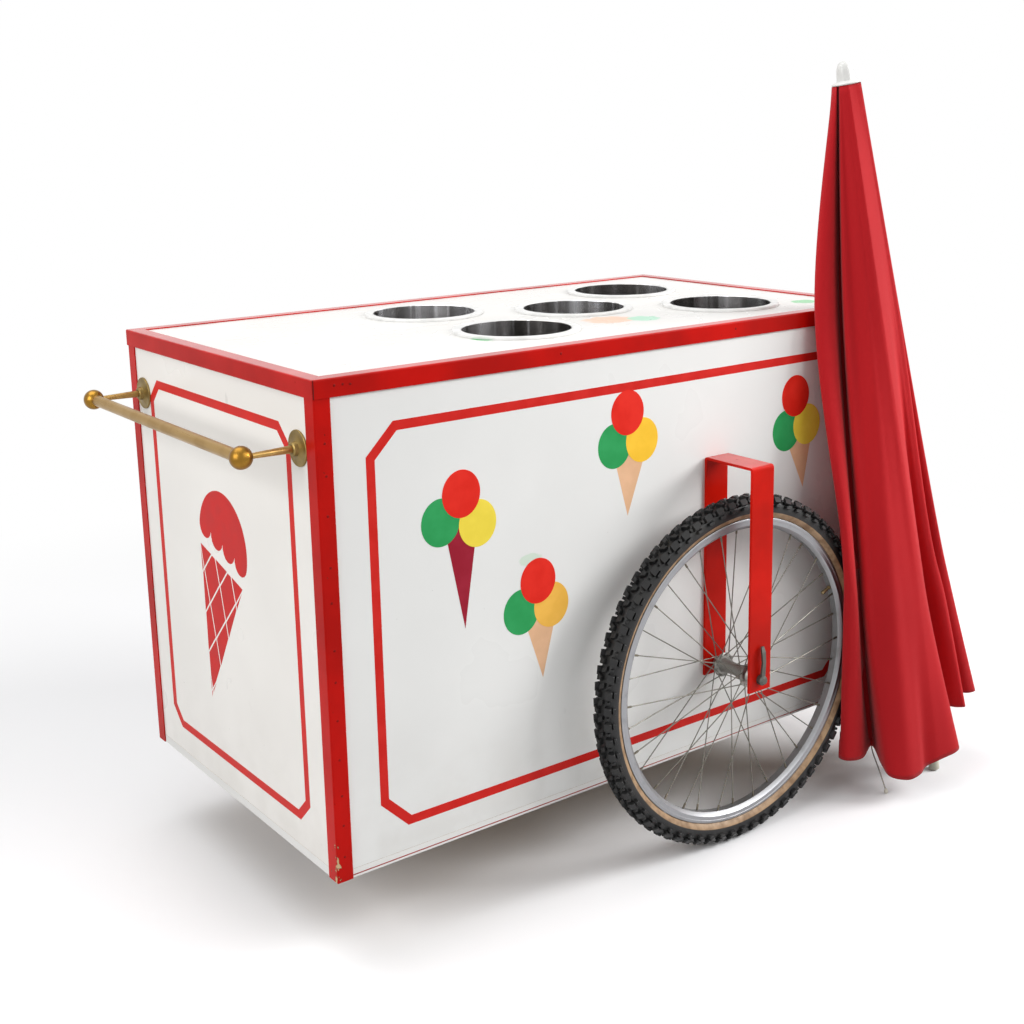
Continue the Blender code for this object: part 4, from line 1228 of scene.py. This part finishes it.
def set_floor():
    """A pale floor that keeps the cart's shadow and turns white away from it."""
    finish = Finish("studio_floor")
    dim = finish.node("BsdfDiffuse", None, {"Color": floor_bounce})
    pale = finish.node("BsdfDiffuse", None, {"Color": floor_seen})
    white = finish.node("Emission", None, {"Color": pure_white, "Strength": 1.0})
    middle = (cad_box[0] + cad_box[1]) / 2
    away = finish.vector("DISTANCE", finish.place(), (middle.x, middle.y, 0.0), output="Value")
    shown = finish.node("MixShader", None, {0: away.ramp(*floor_fade), 1: pale, 2: white})
    shader = finish.node("MixShader", None, {0: seen_directly(finish), 1: dim, 2: shown})
    finish.node("OutputMaterial", None, {"Surface": shader})
    mesh = bmesh.new()
    bmesh.ops.create_grid(mesh, x_segments=1, y_segments=1, size=floor_size)
    placed("floor", mesh_data("floor", mesh, finish.owner))


def set_world():
    """An even sky, dimmer for the light it gives than for what is seen of it."""
    sky = Finish("studio", "worlds")
    level = seen_directly(sky).ramp(0.0, 1.0, sky_level, 1.0)
    shader = sky.node("Background", None, {"Color": pure_white, "Strength": level})
    sky.node("OutputWorld", None, {"Surface": shader})
    bpy.context.scene.world = sky.owner


def set_lights():
    for name, place, target, size, power in lamps:
        light = bpy.data.lights.new(name, "AREA")
        light.energy = power
        light.size = size
        lamp = placed(name, light)
        lamp.location = on_cart(*place)
        lamp.rotation_euler = (on_cart(*target) - lamp.location).to_track_quat("-Z", "Y").to_euler()


# How far the edges of the CAD solids that stay are broken
board_edge = 0.0008
ply_edge = 0.0006
angle_edge = 0.0005
strap_edge = 0.0007
axle_edge = 0.0004


def dress_nodes():
    """Finishes for the CAD solids that stay, with their edges broken."""
    board = white_laminate("side_laminate", (236, 236, 234), side_marks)
    # The end boards take a brighter, warmer copy of the side laminate: its extra brightness is painted
    # light on the end face
    lit_end_board = white_laminate("end_laminate_painted_light", (243, 240, 235))
    red = painted("edge_red", (198, 18, 11), chipped=True)
    lid_red = painted("lid_red", (198, 18, 11))
    strap_red = painted("strap_red", (206, 24, 10))
    dark = metal("quick_metal", (96, 96, 92), 0.42, 0.3)
    zinc = metal("bright_zinc", (176, 180, 184), 0.34, 0.3, grain=120.0, stretch=(1.0, 1.0, 4.0))
    posts = ["%s_%s" % (side, end) for side in sides for end in ("handle", "front")]
    for start, ends, finish, edge in (
            ("side_panel", sides, board, board_edge),
            ("end_panel", ("handle", "front"), lit_end_board, board_edge),
            ("floor", ("panel",), floor_board(), ply_edge),
            ("corner_post", posts, red, angle_edge),
            ("lid_trim", ("near", "far", "handle", "front"), lid_red, angle_edge),
            ("bracket", sides, strap_red, strap_edge),
            ("axle", sides, dark, axle_edge),
            ("quick_release", sides, dark, angle_edge),
            ("caster", ("plate", "fork"), zinc, angle_edge),
            ("caster", ("wheel",), moulded("caster_rubber", (70, 70, 70), 0.6), None)):
        for end in ends:
            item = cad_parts["%s_%s" % (start, end)]
            item.data.materials.clear()
            item.data.materials.append(finish)
            if edge:
                rounded(item, edge)


set_camera()
set_floor()
set_world()
set_lights()
dress_nodes()
fine_lid()
fine_wells()
fine_handle()
box_stripes()
box_figures()
end_figure()
box_details()
fine_wheels()
fine_pole()
rib_end()
cloth_canopy()
